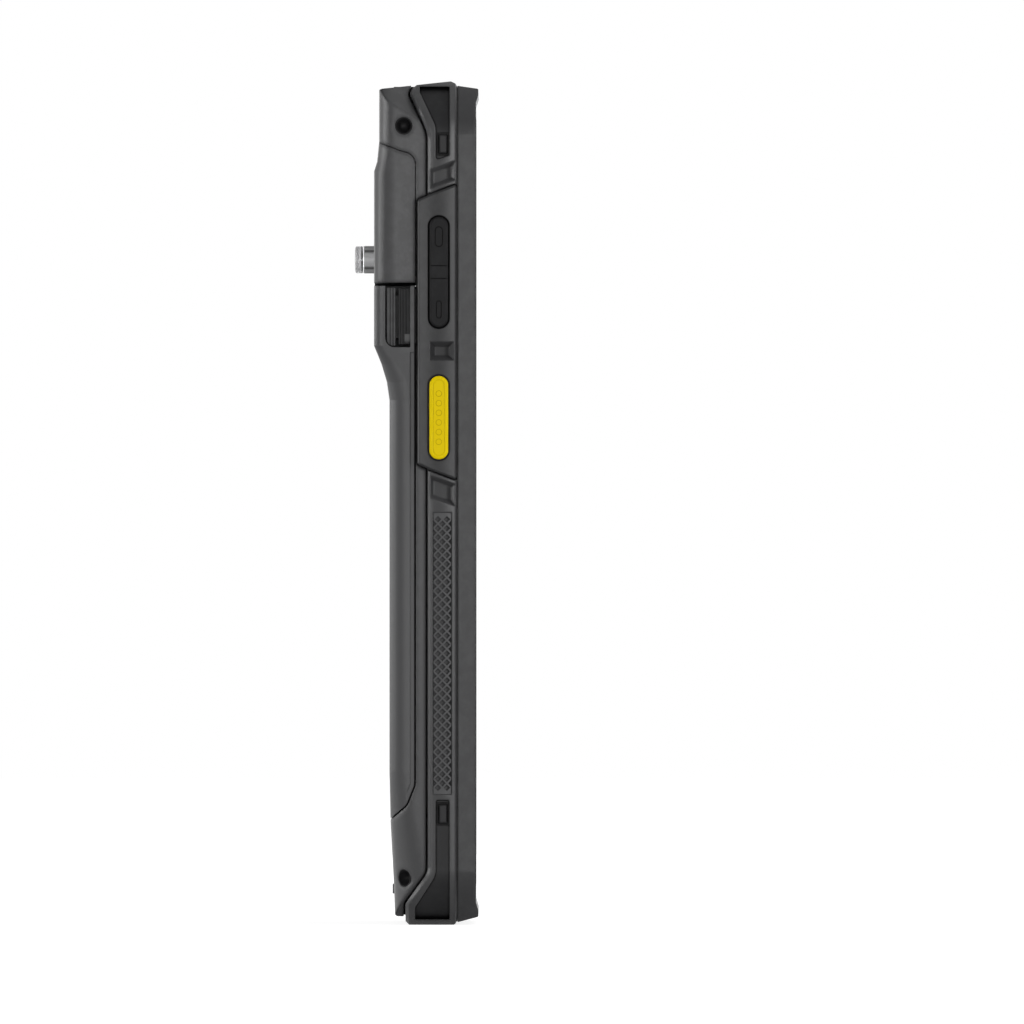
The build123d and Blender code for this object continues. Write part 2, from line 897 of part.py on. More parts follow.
# ---------------------------------------------------------------- shared outer form of the rear
with BuildPart() as rear_form:
    for level, depth, edge_radius in back_sections:
        with BuildSketch(level_plane(level)):
            with BuildLine():
                FilletPolyline(
                    (-rear_half, 0),
                    (-rear_half, depth),
                    (rear_half, depth),
                    (rear_half, 0),
                    radius=[0, edge_radius, edge_radius, 0],
                    close=True,
                )
            make_face()
    loft(ruled=True)
    for sign in (-1, 1):
        for end_z, inward, radius in ((rear_low, 1, corner_radius), (height, -1, cap_corner_radius)):
            with BuildSketch(front_plane(0)):
                with Locations((sign * (rear_half - radius / 2 + 1), end_z + inward * (radius / 2 - 1))):
                    Rectangle(radius + 2, radius + 2)
                with Locations((sign * (rear_half - radius), end_z + inward * radius)):
                    Circle(radius, mode=Mode.SUBTRACT)
            extrude(amount=-beyond, mode=Mode.SUBTRACT)
    side_slab(rear_ends_region, -rear_half, rear_half, mode=Mode.INTERSECT)
    for sign in (-1, 1):
        # leaning facet at each upper corner
        facet = Plane(
            origin=(sign * rear_half, front_y + rear_rail_depth + 0.95, bumper_top_bend + 2.2),
            z_dir=(sign * 0.63, -0.41, 0.66),
        )
        with BuildSketch(facet):
            Rectangle(60, 60)
        extrude(amount=20, mode=Mode.SUBTRACT)

# ---------------------------------------------------------------- front frame
with BuildPart() as front_frame:
    side_slab(frame_region, -bumper_half, bumper_half)
    with BuildSketch(front_plane(frame_depth)):
        with Locations((0, height / 2)):
            RectangleRounded(2 * frame_half, height, corner_radius)
    extrude(amount=frame_depth + 1, taper=frame_draft, mode=Mode.INTERSECT)
    front_slab(
        glass_half + glass_gap,
        glass_low - glass_gap,
        glass_high + glass_gap,
        glass_radius + glass_gap,
        -1,
        lcd_depth + gasket_thick,
        mode=Mode.SUBTRACT,
    )
    front_slab(
        glass_half - gasket_width,
        glass_low + gasket_end,
        glass_high - gasket_end,
        glass_radius - gasket_width,
        lcd_depth,
        frame_depth + 1,
        mode=Mode.SUBTRACT,
    )
save(front_frame.part, "front_frame")

# ---------------------------------------------------------------- display
receiver_low = receiver_z - receiver_slot / 2
receiver_high = receiver_z + receiver_slot / 2
receiver_round = receiver_slot / 2 - slip_gap

with BuildPart() as display_glass:
    front_slab(glass_half, glass_low, glass_high, glass_radius, glass_sunk, lcd_depth)
    front_slab(
        receiver_half, receiver_low, receiver_high, receiver_round, 0, frame_depth, mode=Mode.SUBTRACT
    )
    chamfer(display_glass.faces().sort_by(Axis.Y)[0].outer_wire().edges(), glass_bevel)
save(display_glass.part, "display_glass")

with BuildPart() as display_gasket:
    front_slab(glass_half, glass_low, glass_high, glass_radius, lcd_depth, lcd_depth + gasket_thick)
    front_slab(
        glass_half - gasket_width,
        glass_low + gasket_end,
        glass_high - gasket_end,
        glass_radius - gasket_width,
        0,
        frame_depth,
        mode=Mode.SUBTRACT,
    )
save(display_gasket.part, "display_gasket")

with BuildPart() as display_module:
    front_slab(glass_half - lcd_margin, lcd_low, lcd_high, 1.0, lcd_depth, lcd_depth + lcd_thick)
save(display_module.part, "display_module")

with BuildPart() as front_camera:
    camera_shoulder = lcd_depth + front_camera_flange
    front_disc(front_camera_x, receiver_z, front_camera_radius, lcd_depth, camera_shoulder)
    front_disc(
        front_camera_x,
        receiver_z,
        front_camera_radius + front_camera_flange,
        camera_shoulder,
        chassis_front,
    )
save(front_camera.part, "front_camera")

with BuildPart() as receiver:
    front_slab(
        receiver_half + receiver_rim,
        receiver_low - 1.0,
        receiver_high + 1.0,
        receiver_rim,
        lcd_depth,
        chassis_front,
    )
    front_slab(
        receiver_half, receiver_low, receiver_high, receiver_round, 0, lcd_depth + 0.5, mode=Mode.SUBTRACT
    )
save(receiver.part, "receiver")

with BuildPart() as receiver_mesh:
    front_slab(
        receiver_half - slip_gap,
        receiver_low + slip_gap,
        receiver_high - slip_gap,
        receiver_round - inlay_gap,
        lcd_depth - mesh_thick,
        lcd_depth,
    )
    with BuildSketch(front_plane(0)):
        with Locations((0, receiver_z)):
            with GridLocations(mesh_pitch, 1, int(2 * receiver_half / mesh_pitch) - 3, 1):
                Circle(mesh_hole)
    extrude(amount=-frame_depth, mode=Mode.SUBTRACT)
save(receiver_mesh.part, "receiver_mesh")

# ---------------------------------------------------------------- bumper
with BuildPart() as bumper:
    side_slab(bumper_region, -bumper_half, bumper_half, shrink=groove_width - seam / 2)
    side_slab(bumper_ends_region, -bumper_half, bumper_half, mode=Mode.INTERSECT)
    front_slab(bumper_half, 0, height, corner_radius, 0, beyond, mode=Mode.INTERSECT)
    rear_edges = bumper.edges().filter_by(
        lambda edge: edge.bounding_box().min.Y > front_y + rear_rail_depth - 2 * groove_width
    )
    crossing = rear_edges.filter_by(Axis.X).filter_by_position(Axis.Z, bumper_wall, bumper_top_bend + 8.0)
    chamfer(rear_edges - crossing, edge_bevel)
    chamfer(bumper.edges().group_by(Axis.Y)[0], front_bevel)
    front_slab(
        inner_half,
        bumper_wall,
        height - bumper_wall,
        corner_radius - bumper_wall,
        0,
        beyond,
        mode=Mode.SUBTRACT,
    )
    for _, sign in sides:
        side_slab(panel_region, sign * panel_inner, sign * clear_x, shrink=-panel_slit, mode=Mode.SUBTRACT)
        for notch in (top_notch_region, low_notch_region):
            side_slab(
                notch,
                sign * bumper_half,
                sign * (bumper_half - notch_sunk),
                taper=notch_draft,
                mode=Mode.SUBTRACT,
            )
        block(
            (sign * (bumper_half - grip_sunk - grip_thick - inlay_gap), sign * clear_x),
            (grip_front - inlay_gap, grip_front + grip_width + inlay_gap),
            (grip_low - inlay_gap, grip_high[sign] + inlay_gap),
            mode=Mode.SUBTRACT,
        )
        for size in panel_keys[sign]:
            side_slot(
                key_depth, size, key_side_gap, sign * (inner_half - 1), sign * clear_x, mode=Mode.SUBTRACT
            )
    side_slot(key_depth, program_size, key_side_gap + rim_width, inner_half, bumper_half + rim_proud)
    side_slot(key_depth, program_size, key_side_gap, inner_half - 1, clear_x, mode=Mode.SUBTRACT)
    for _, sign in sides:
        for _, region, _ in ends:
            add(corner_layer(region, sign, 0, 0, guard_recess + guard_thick), mode=Mode.SUBTRACT)
    block(
        (-window_half, window_half),
        (window_front, window_rear),
        (height - bumper_wall - 1, height + 1),
        mode=Mode.SUBTRACT,
    )
    for _, sign in sides:
        hook(sign, fixed_gap, mode=Mode.SUBTRACT)
    with BuildSketch(level_plane(-1)):
        with Locations((0, port_depth)):
            SlotOverall(port_width + 2 * port_gap, port_thick + 2 * port_gap)
    extrude(amount=bumper_wall + 2, mode=Mode.SUBTRACT)
save(bumper.part, "bumper")

for side, sign in sides:
    for end, region, low in ends:
        with BuildPart() as corner_guard:
            guard_face = bumper_half - guard_recess
            add(corner_layer(region, sign, inlay_gap, guard_recess, guard_recess + guard_thick))
            nub_front = frame_depth + nub_set_back
            block(
                (sign * (guard_face - nub_moat_sunk), sign * clear_x),
                (nub_front - nub_moat, nub_front + nub_width + nub_moat),
                (low - nub_moat, low + nub_length + nub_moat),
                mode=Mode.SUBTRACT,
            )
            block(
                (sign * (guard_face - (guard_thick + nub_moat_sunk) / 2), sign * (guard_face + nub_proud)),
                (nub_front, nub_front + nub_width),
                (low, low + nub_length),
            )
            nub_top = corner_guard.faces().filter_by(Axis.X).sort_by(Axis.X)[-1 if sign > 0 else 0]
            fillet(nub_top.edges(), nub_round)
        save(corner_guard.part, f"corner_guard_{end}_{side}")

for side, sign in sides:
    with BuildPart() as grip:
        block(
            (sign * (bumper_half - grip_sunk - grip_thick), sign * (bumper_half - grip_sunk)),
            (grip_front, grip_front + grip_width),
            (grip_low, grip_high[sign]),
        )
        fillet(grip.edges().filter_by(Axis.X), grip_round)
    save(grip.part, f"grip_{side}")

# ---------------------------------------------------------------- key panels
for side, sign in sides:
    with BuildPart() as key_panel:
        side_slab(panel_region, sign * (panel_inner + inlay_gap), sign * (panel_half - panel_bevel))
        side_slab(panel_region, sign * (panel_half - panel_bevel), sign * panel_half, taper=45)
        side_slab(
            dimple_region,
            sign * panel_half,
            sign * (panel_half - dimple_sunk),
            taper=dimple_draft,
            mode=Mode.SUBTRACT,
        )
        if sign > 0:
            side_slot(
                key_depth,
                power_size,
                key_side_gap + rim_width,
                panel_half - rim_seat,
                panel_half + rim_proud,
            )
        for size in panel_keys[sign]:
            side_slot(
                key_depth, size, key_side_gap, sign * (panel_inner - 1), sign * clear_x, mode=Mode.SUBTRACT
            )
    save(key_panel.part, f"key_panel_{side}")

# ---------------------------------------------------------------- chassis and boards
with BuildPart() as chassis_plate:
    front_slab(
        inner_half - fixed_gap,
        bumper_wall + fixed_gap,
        height - bumper_wall - fixed_gap,
        corner_radius - bumper_wall - fixed_gap,
        chassis_front,
        chassis_front + chassis_thick,
    )
    for z in screw_levels:
        for x in (-screw_x, screw_x):
            front_disc(x, z, pillar_radius, chassis_front, tray_front)
            front_disc(
                x,
                z,
                screw_radius + inlay_gap,
                chassis_front + chassis_thick,
                tray_front,
                mode=Mode.SUBTRACT,
            )
save(chassis_plate.part, "chassis_plate")

with BuildPart() as main_board:
    front_slab(main_board_width / 2, main_board_low, main_board_high, 2.0, board_front, board_rear)
save(main_board.part, "main_board")

with BuildPart() as board_shield:
    front_slab(shield_half, shield_low, shield_high, 1.0, board_rear, board_rear + shield_thick)
    front_slab(
        shield_half - shield_sheet,
        shield_low + shield_sheet,
        shield_high - shield_sheet,
        1.0 - shield_sheet,
        board_rear,
        board_rear + shield_thick - shield_sheet,
        mode=Mode.SUBTRACT,
    )
save(board_shield.part, "board_shield")

with BuildPart() as processor:
    front_slab(
        processor_half,
        (shield_low + shield_high) / 2 - processor_half,
        (shield_low + shield_high) / 2 + processor_half,
        0.3,
        board_rear,
        board_rear + processor_thick,
    )
save(processor.part, "processor")

with BuildPart() as card_holder:
    front_slab(
        card_half, card_low, card_low + card_length, 0.5, board_rear, board_rear + card_thick, x=card_x
    )
    front_slab(
        card_half - 1.4,
        card_low - 1.0,
        card_low + card_length - 0.8,
        0.3,
        board_rear + card_sheet,
        board_rear + card_thick - card_sheet,
        x=card_x,
        mode=Mode.SUBTRACT,
    )
save(card_holder.part, "card_holder")

with BuildPart() as battery_connector:
    connector_rear = tray_rear + slip_gap
    front_slab(
        connector_half, connector_low, connector_low + connector_tall, 0.5, board_rear, connector_rear
    )
    with BuildSketch(front_plane(connector_rear)):
        with Locations((0, connector_z)):
            with GridLocations(contact_row_pitch, 1, contact_row_count, 1):
                Rectangle(1.2, 2.4)
    extrude(amount=0.5, mode=Mode.SUBTRACT)
save(battery_connector.part, "battery_connector")

with BuildPart() as sub_board:
    front_slab(sub_board_width / 2, sub_board_low, sub_board_high, 1.5, board_front, board_rear)
save(sub_board.part, "sub_board")

with BuildPart() as usb_connector:
    with BuildSketch(level_plane(port_low)):
        with Locations((0, port_depth)):
            SlotOverall(port_width, port_thick)
    extrude(amount=port_length)
    with BuildSketch(level_plane(port_low)):
        with Locations((0, port_depth)):
            SlotOverall(port_width - 2 * port_shell, port_thick - 2 * port_shell)
    extrude(amount=port_length - 1.0, mode=Mode.SUBTRACT)
    block(
        (-port_width / 2 + tongue_margin, port_width / 2 - tongue_margin),
        (port_depth - tongue_thick / 2, port_depth + tongue_thick / 2),
        (port_low + 0.8, port_low + port_length),
    )
save(usb_connector.part, "usb_connector")

with BuildPart() as speaker:
    front_slab(
        speaker_half,
        speaker_low,
        speaker_low + speaker_tall,
        1.5,
        board_rear,
        board_rear + speaker_thick,
        x=speaker_x,
    )
    fillet(speaker.faces().sort_by(Axis.Y)[-1].edges(), 0.5)
save(speaker.part, "speaker")

with BuildPart() as vibration_motor:
    motor_z = speaker_low + speaker_tall / 2
    front_disc(-speaker_x, motor_z, motor_radius, board_rear, board_rear + motor_thick)
save(vibration_motor.part, "vibration_motor")

# ---------------------------------------------------------------- rear housing
with BuildPart() as spigot:
    for _, sign in sides:
        for inner_x, low, high in spigot_ribs:
            block((sign * inner_x, sign * (inner_x + spigot_thick)), (0, cap_depth), (low, high))
    side_slab(behind_bumper, -inner_half, inner_half, shrink=-spigot_reach, mode=Mode.INTERSECT)
    side_slab(behind_bumper, -inner_half, inner_half, shrink=spigot_root, mode=Mode.SUBTRACT)

with BuildPart() as rear_housing:
    add(rear_form.part)
    side_slab(housing_region, -clear_x, clear_x, shrink=seam / 2, mode=Mode.INTERSECT)
    add(spigot.part)
    # hollow top and bottom caps
    front_slab(cap_half, cap_low, cap_high, 2.0, 0, cap_depth - shell_wall, mode=Mode.SUBTRACT)
    front_slab(cap_half, bumper_wall, foot_high, 2.0, 0, foot_depth, mode=Mode.SUBTRACT)
    # tray under the battery, and the well that the battery lies in
    front_slab(tray_half, tray_low, tray_high, 2.0, tray_front, tray_rear + 2 * slip_gap)
    front_slab(
        well_half, well_low, battery_top + moving_gap, 1.0, tray_rear, beyond, mode=Mode.SUBTRACT
    )
    # opening over the boards, under the head cover
    front_slab(well_half, head_wall_high, cap_low + 1, 1.0, 0, beyond, mode=Mode.SUBTRACT)
    for _, sign in sides:
        hook(sign, 0)
        block(
            (sign * (hook_x - hook_half + 2.0), sign * (hook_x + hook_half + 2.0)),
            (top_seam_depth - hook_reach, top_seam_depth + hook_root + 1.0),
            (height - top_hook_high - top_hook_length, height - top_hook_high),
        )
        # catch that rises from the rail, with the notch that the latch's nose enters
        block(
            (sign * catch_inner, sign * catch_outer),
            (seam_depth - catch_root, catch_rear),
            (catch_low, catch_high),
        )
        block(
            (sign * (catch_inner - 1), sign * (catch_inner + catch_notch)),
            (nose_front - moving_gap, nose_rear + moving_gap),
            (catch_low - 1, catch_high + 1),
            mode=Mode.SUBTRACT,
        )
        # relief behind each key panel
        side_slab(panel_region, sign * inner_half, sign * clear_x, shrink=-panel_slit, mode=Mode.SUBTRACT)
        # strap sockets, the upper one in a boss that fills the hollow cap
        side_disc(
            strap_top_depth,
            strap_top_z,
            strap_radius + strap_rim,
            sign * (cap_half - 1),
            sign * (rear_half - 0.8),
        )
        side_disc(
            strap_top_depth,
            strap_top_z,
            strap_radius,
            sign * (rear_half - strap_length),
            sign * clear_x,
            mode=Mode.SUBTRACT,
        )
        with BuildSketch(strap_low_plane(sign), mode=Mode.PRIVATE) as socket:
            Circle(strap_radius)
        extrude(socket.sketch, amount=-strap_low_length, mode=Mode.SUBTRACT)
        extrude(socket.sketch, amount=strap_low_length, mode=Mode.SUBTRACT)
        # slot for the battery's toe
        block(
            (sign * (toe_x - toe_width / 2 - moving_gap), sign * (toe_x + toe_width / 2 + moving_gap)),
            (toe_depth - toe_slot_front, toe_depth + toe_thick + toe_slot_rear),
            (toe_low - moving_gap, battery_low),
            mode=Mode.SUBTRACT,
        )
    block(
        (-window_half, window_half),
        (window_front, window_rear),
        (cap_high - 1, height + 1),
        mode=Mode.SUBTRACT,
    )
    add(contact_row(contact_radius + inlay_gap), mode=Mode.SUBTRACT)
    for z in screw_levels:
        for x in (-screw_x, screw_x):
            head_depth_seat = tray_rear - screw_head - inlay_gap
            front_disc(x, z, screw_radius + 2 * slip_gap, tray_front - 1, beyond, mode=Mode.SUBTRACT)
            front_disc(x, z, screw_head_radius + 2 * slip_gap, head_depth_seat, beyond, mode=Mode.SUBTRACT)
    front_slab(
        connector_half + moving_gap,
        connector_low - moving_gap,
        connector_low + connector_tall + moving_gap,
        0.5,
        0,
        beyond,
        mode=Mode.SUBTRACT,
    )
save(rear_housing.part, "rear_housing")

with BuildPart() as head_cover:
    add(rear_form.part)
    side_slab(head_region, -clear_x, clear_x, shrink=seam / 2, mode=Mode.INTERSECT)
    front_slab(well_half, head_low + shell_wall, head_inner_top, 2.0, 0, head_inside, mode=Mode.SUBTRACT)
    # room for the scan engine, through the cover's upper wall
    front_slab(
        engine_half + 2 * bracket_margin,
        head_inner_top - 5.0,
        cap_low + 5.0,
        1.0,
        0,
        cap_depth - shell_wall,
        mode=Mode.SUBTRACT,
    )
    block(
        (-tab_half - moving_gap, tab_half + moving_gap),
        (0, beyond),
        (head_low - 1.0, battery_top + tab_rise + moving_gap),
        mode=Mode.SUBTRACT,
    )
    front_disc(0, post_z, post_radius + slip_gap, 0, beyond, mode=Mode.SUBTRACT)
    front_disc(camera_x, camera_z, camera_radius - 0.8, 0, beyond, mode=Mode.SUBTRACT)
    front_disc(camera_x, camera_z, camera_radius + slip_gap, camera_seat, beyond, mode=Mode.SUBTRACT)
    front_disc(flash_x, camera_z, flash_radius + slip_gap, 0, beyond, mode=Mode.SUBTRACT)
save(head_cover.part, "head_cover")

with BuildPart() as lens_post:
    flange_front = head_inside - post_flange
    front_disc(0, post_z, post_radius, flange_front, head_depth + post_proud)
    front_disc(0, post_z, post_radius + post_flange_rim, flange_front, head_inside - slip_gap)
    fillet(lens_post.faces().sort_by(Axis.Y)[-1].edges(), 0.25)
save(lens_post.part, "lens_post")

with BuildPart() as post_lamp:
    front_slab(
        lamp_half, post_z - lamp_half, post_z + lamp_half, 0.4, lamp_depth, lamp_depth + lamp_tall
    )
    front_slab(
        2.5 * lamp_half,
        post_z - 2.0 * lamp_half,
        post_z + 3.0 * lamp_half,
        0.8,
        lamp_depth - board_thick,
        lamp_depth,
    )
save(post_lamp.part, "post_lamp")

with BuildPart() as camera_window:
    front_disc(camera_x, camera_z, camera_radius, camera_seat + inlay_gap, head_depth - slip_gap)
    fillet(camera_window.faces().sort_by(Axis.Y)[-1].edges(), 0.2)
save(camera_window.part, "camera_window")

with BuildPart() as rear_camera:
    barrel_foot = camera_seat - camera_barrel
    front_disc(camera_x, camera_z, camera_radius - 1.4, barrel_foot, camera_seat - 2 * slip_gap)
    front_slab(
        camera_body_half,
        camera_z - camera_body_half,
        camera_z + camera_body_half,
        0.6,
        barrel_foot - camera_body,
        barrel_foot,
        x=camera_x,
    )
save(rear_camera.part, "rear_camera")

with BuildPart() as flash_lens:
    flash_front = head_inside - 0.6
    front_disc(flash_x, camera_z, flash_radius, flash_front, head_depth - 0.15)
    front_disc(flash_x, camera_z, flash_radius + 0.5, flash_front, head_inside - slip_gap)
save(flash_lens.part, "flash_lens")

# ---------------------------------------------------------------- scanner in the top end
rebate_half = window_half - window_rim + window_rebate
rebate_front = window_front + window_rim - window_rebate
rebate_rear = window_rear - window_rim + window_rebate
window_floor = window_top - window_sunk - window_thick

with BuildPart() as scan_window_frame:
    block(
        (slip_gap - window_half, window_half - slip_gap),
        (window_front + slip_gap, window_rear - slip_gap),
        (window_foot, window_top),
    )
    block(
        (window_rim - window_half, window_half - window_rim),
        (window_front + window_rim, window_rear - window_rim),
        (window_foot - 1, height + 1),
        mode=Mode.SUBTRACT,
    )
    block(
        (-rebate_half, rebate_half),
        (rebate_front, rebate_rear),
        (window_floor, height + 1),
        mode=Mode.SUBTRACT,
    )
save(scan_window_frame.part, "scan_window_frame")

with BuildPart() as scan_window:
    block(
        (slip_gap - rebate_half, rebate_half - slip_gap),
        (rebate_front + slip_gap, rebate_rear - slip_gap),
        (window_floor, window_top - window_sunk),
    )
save(scan_window.part, "scan_window")

with BuildPart() as engine_bracket:
    block(
        (-engine_half - bracket_margin, engine_half + bracket_margin),
        (board_front - board_gap, engine_rear + 0.5),
        (bracket_low, engine_low),
    )
save(engine_bracket.part, "engine_bracket")

with BuildPart() as scan_engine:
    engine_middle = (engine_front + engine_rear) / 2
    block((-engine_half, engine_half), (engine_front, engine_rear), (engine_low, engine_high))
    with BuildSketch(level_plane(engine_high)):
        with Locations((lens_x, engine_middle)):
            Circle(lens_radius)
        with Locations((aimer_x, engine_middle)):
            Circle(aimer_radius)
    extrude(amount=engine_barrel)
    with BuildSketch(level_plane(engine_high + engine_barrel)):
        with Locations((lens_x, engine_middle)):
            Circle(lens_bore)
    extrude(amount=-1.0, mode=Mode.SUBTRACT)
save(scan_engine.part, "scan_engine")

with BuildPart() as charge_contacts:
    add(contact_row(contact_radius))
save(charge_contacts.part, "charge_contacts")

# ---------------------------------------------------------------- screws
with BuildPart() as housing_screws:
    for z in screw_levels:
        for x in (-screw_x, screw_x):
            head_front = tray_rear - screw_head
            front_disc(x, z, screw_head_radius, head_front - inlay_gap, tray_rear - inlay_gap)
            front_disc(x, z, screw_radius, head_front - screw_length, head_front)
            front_disc(x, z, screw_socket, tray_rear - screw_socket_depth, tray_rear, mode=Mode.SUBTRACT)
save(housing_screws.part, "housing_screws")

# ---------------------------------------------------------------- keys
for side, sign in sides:
    with BuildPart() as key_board:
        block(
            (sign * key_board_x, sign * key_board_outer),
            (key_depth - key_board_front, key_depth + key_board_rear),
            (key_board_low[sign], panel_high - key_board_end),
        )
    save(key_board.part, f"key_board_{side}")

    with BuildPart() as key_domes:
        for z in dome_levels[sign]:
            dome_top = key_board_outer + dome_height
            side_disc(key_depth, z, dome_radius, sign * key_board_outer, sign * dome_top)
        fillet(key_domes.faces().filter_by(Axis.X).group_by(Axis.X)[-1 if sign > 0 else 0].edges(), 0.3)
    save(key_domes.part, f"key_domes_{side}")

for name, sign, key_z, width, length, top_x, flange_x, plungers in keys:
    size = (key_z, width, length)
    flange_inner = flange_x - flange_thick
    with BuildPart() as key:
        side_slot(key_depth, size, 0, sign * flange_inner, sign * top_x)
        key_top = key.faces().filter_by(Axis.X).sort_by(Axis.X)[-1 if sign > 0 else 0]
        fillet(key_top.edges(), key_edge)
        side_slot(key_depth, size, flange_margin, sign * flange_inner, sign * flange_x)
        for z in plungers:
            side_disc(key_depth, z, plunger_radius, sign * plunger_x, sign * flange_inner)
        add(key_marks(name, sign, size, top_x), mode=Mode.SUBTRACT)
    save(key.part, name)

# ---------------------------------------------------------------- battery pack
cover_half = pocket_floor_x - 1.4
cover_high = battery_top - shell_wall

with BuildPart() as battery_cover:
    add(rear_form.part)
    side_slab(battery_region, -clear_x, clear_x, shrink=moving_gap - seam / 2, mode=Mode.INTERSECT)
    # hollows for the cell and, above it, for the board under the thicker end
    front_slab(
        cell_half + battery_floor,
        cell_low - battery_floor,
        cell_high + 0.5,
        3.0,
        0,
        body_depth - battery_wall,
        mode=Mode.SUBTRACT,
    )
    front_slab(
        cover_half, cell_high, cover_high, 2.0, 0, body_depth - battery_wall, mode=Mode.SUBTRACT
    )
    front_slab(
        cover_half,
        thick_high + 1.4,
        cover_high,
        2.0,
        0,
        head_depth - battery_wall,
        mode=Mode.SUBTRACT,
    )
    for _, sign in sides:
        side_slab(pocket_region, sign * pocket_floor_x, sign * clear_x, mode=Mode.SUBTRACT)
        block(
            (sign * (catch_inner - 1.6), sign * (catch_outer + moving_gap)),
            (seam_depth, pocket_front + slip_gap),
            (pocket_low, battery_top + 2.0),
            mode=Mode.SUBTRACT,
        )
        block(
            (sign * (toe_x - toe_width / 2), sign * (toe_x + toe_width / 2)),
            (toe_depth, toe_depth + toe_thick),
            (toe_low, battery_low + 0.5),
        )
        # shallow rim along the seam
        with BuildPart(mode=Mode.PRIVATE) as rim:
            rim_x = sign * (rear_half - rim_band_sunk)
            side_slab(battery_region, rim_x, sign * clear_x)
            side_slab(
                battery_region, rim_x, sign * clear_x, shrink=moving_gap + rim_band, mode=Mode.SUBTRACT
            )
            block(
                (rim_x, sign * clear_x), (0, beyond), (pocket_low - 1.0, height), mode=Mode.SUBTRACT
            )
        add(rim.part, mode=Mode.SUBTRACT)
    tab_region = [
        (battery_split, battery_top - 1.0, 0),
        (head_depth, battery_top - 1.0, 0),
        (head_depth, battery_top + tab_rise, 0),
        (battery_split, battery_top + tab_rise, 0),
    ]
    side_slab(tab_region, -tab_half, tab_half)
save(battery_cover.part, "battery_cover")

with BuildPart() as battery_tray:
    front_slab(
        battery_half, battery_tray_low, battery_tray_high, 1.0, battery_front, battery_split
    )
    front_slab(
        battery_half - battery_wall,
        battery_tray_low + battery_wall,
        battery_tray_high - battery_wall,
        0.6,
        battery_front + battery_floor,
        beyond,
        mode=Mode.SUBTRACT,
    )
    front_slab(
        connector_half,
        connector_low,
        connector_low + connector_tall,
        0.4,
        0,
        beyond,
        mode=Mode.SUBTRACT,
    )
save(battery_tray.part, "battery_tray")

with BuildPart() as battery_cell:
    cell_front = battery_front + battery_floor + slip_gap
    front_slab(cell_half, cell_low, cell_high, 2.0, cell_front, cell_rear)
    fillet(battery_cell.edges().filter_by(Axis.Z), cell_round)
save(battery_cell.part, "battery_cell")

with BuildPart() as battery_board:
    battery_board_low = cell_high + 1.0
    front_slab(
        battery_board_half,
        battery_board_low,
        battery_board_low + battery_board_length,
        1.0,
        board_seat,
        board_seat + board_thick,
    )
save(battery_board.part, "battery_board")

with BuildPart() as battery_contacts:
    contact_face = battery_front + slip_gap
    with BuildSketch(front_plane(contact_face)):
        with Locations((0, connector_z)):
            with GridLocations(contact_row_pitch, 1, contact_row_count, 1):
                RectangleRounded(1.6, 3.2, 0.3)
    extrude(amount=contact_face - board_seat)
save(battery_contacts.part, "battery_contacts")

# ---------------------------------------------------------------- battery latches
for side, sign in sides:
    with BuildPart() as latch:
        side_slab(latch_pad_region, sign * (latch_pad_x - latch_pad_thick), sign * latch_pad_x)
        side_slab(latch_stem_region, sign * latch_inner, sign * latch_pad_x)
        block(
            (sign * latch_inner, sign * latch_outer),
            (nose_front, latch_pad_front + 0.5),
            (latch_low + 1.5, latch_high - 1.5),
        )
        block(
            (sign * latch_inner, sign * (catch_inner + nose_reach)),
            (nose_front, nose_rear),
            (latch_low + nose_inset, latch_high - nose_inset),
        )
        for rib in range(2):
            rib_front = latch_pad_front + 0.35 + latch_rib_pitch * rib
            block(
                (sign * (latch_pad_x - latch_rib), sign * clear_x),
                (rib_front, rib_front + latch_rib),
                (latch_low - 1, latch_high + 1),
                mode=Mode.SUBTRACT,
            )
    save(latch.part, f"latch_{side}")

    with BuildPart() as latch_spring:
        spring_gap = spring_wire + inlay_gap
        spring_length = latch_inner - pocket_floor_x - 2 * spring_gap
        spring_seat = (sign * (pocket_floor_x + spring_gap), front_y + spring_depth, spring_z)
        with BuildLine() as coil:
            Helix(spring_pitch, spring_length, spring_radius, center=spring_seat, direction=(sign, 0, 0))
        with BuildSketch(Plane(origin=coil.line @ 0, z_dir=coil.line % 0)):
            Circle(spring_wire)
        sweep(path=coil.line)
    save(latch_spring.part, f"latch_spring_{side}")
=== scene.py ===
import json
from math import cos, pi, radians, sin

import bmesh
import bpy
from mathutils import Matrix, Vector


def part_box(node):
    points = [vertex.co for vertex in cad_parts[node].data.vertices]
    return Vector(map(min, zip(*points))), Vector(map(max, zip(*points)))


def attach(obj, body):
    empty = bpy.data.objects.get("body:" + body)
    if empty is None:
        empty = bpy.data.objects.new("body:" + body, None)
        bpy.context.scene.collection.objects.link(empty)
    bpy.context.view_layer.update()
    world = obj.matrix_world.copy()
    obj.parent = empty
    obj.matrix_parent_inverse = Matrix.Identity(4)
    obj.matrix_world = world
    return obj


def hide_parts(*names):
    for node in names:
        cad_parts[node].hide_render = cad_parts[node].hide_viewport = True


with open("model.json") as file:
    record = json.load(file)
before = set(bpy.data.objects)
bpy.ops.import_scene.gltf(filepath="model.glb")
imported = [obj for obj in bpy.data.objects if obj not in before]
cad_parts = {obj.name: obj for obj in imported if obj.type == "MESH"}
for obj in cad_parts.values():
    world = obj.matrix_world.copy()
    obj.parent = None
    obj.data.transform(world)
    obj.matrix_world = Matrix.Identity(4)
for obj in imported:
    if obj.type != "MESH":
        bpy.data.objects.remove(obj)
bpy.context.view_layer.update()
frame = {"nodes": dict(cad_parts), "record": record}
nodes = frame["nodes"]
mm = 0.001

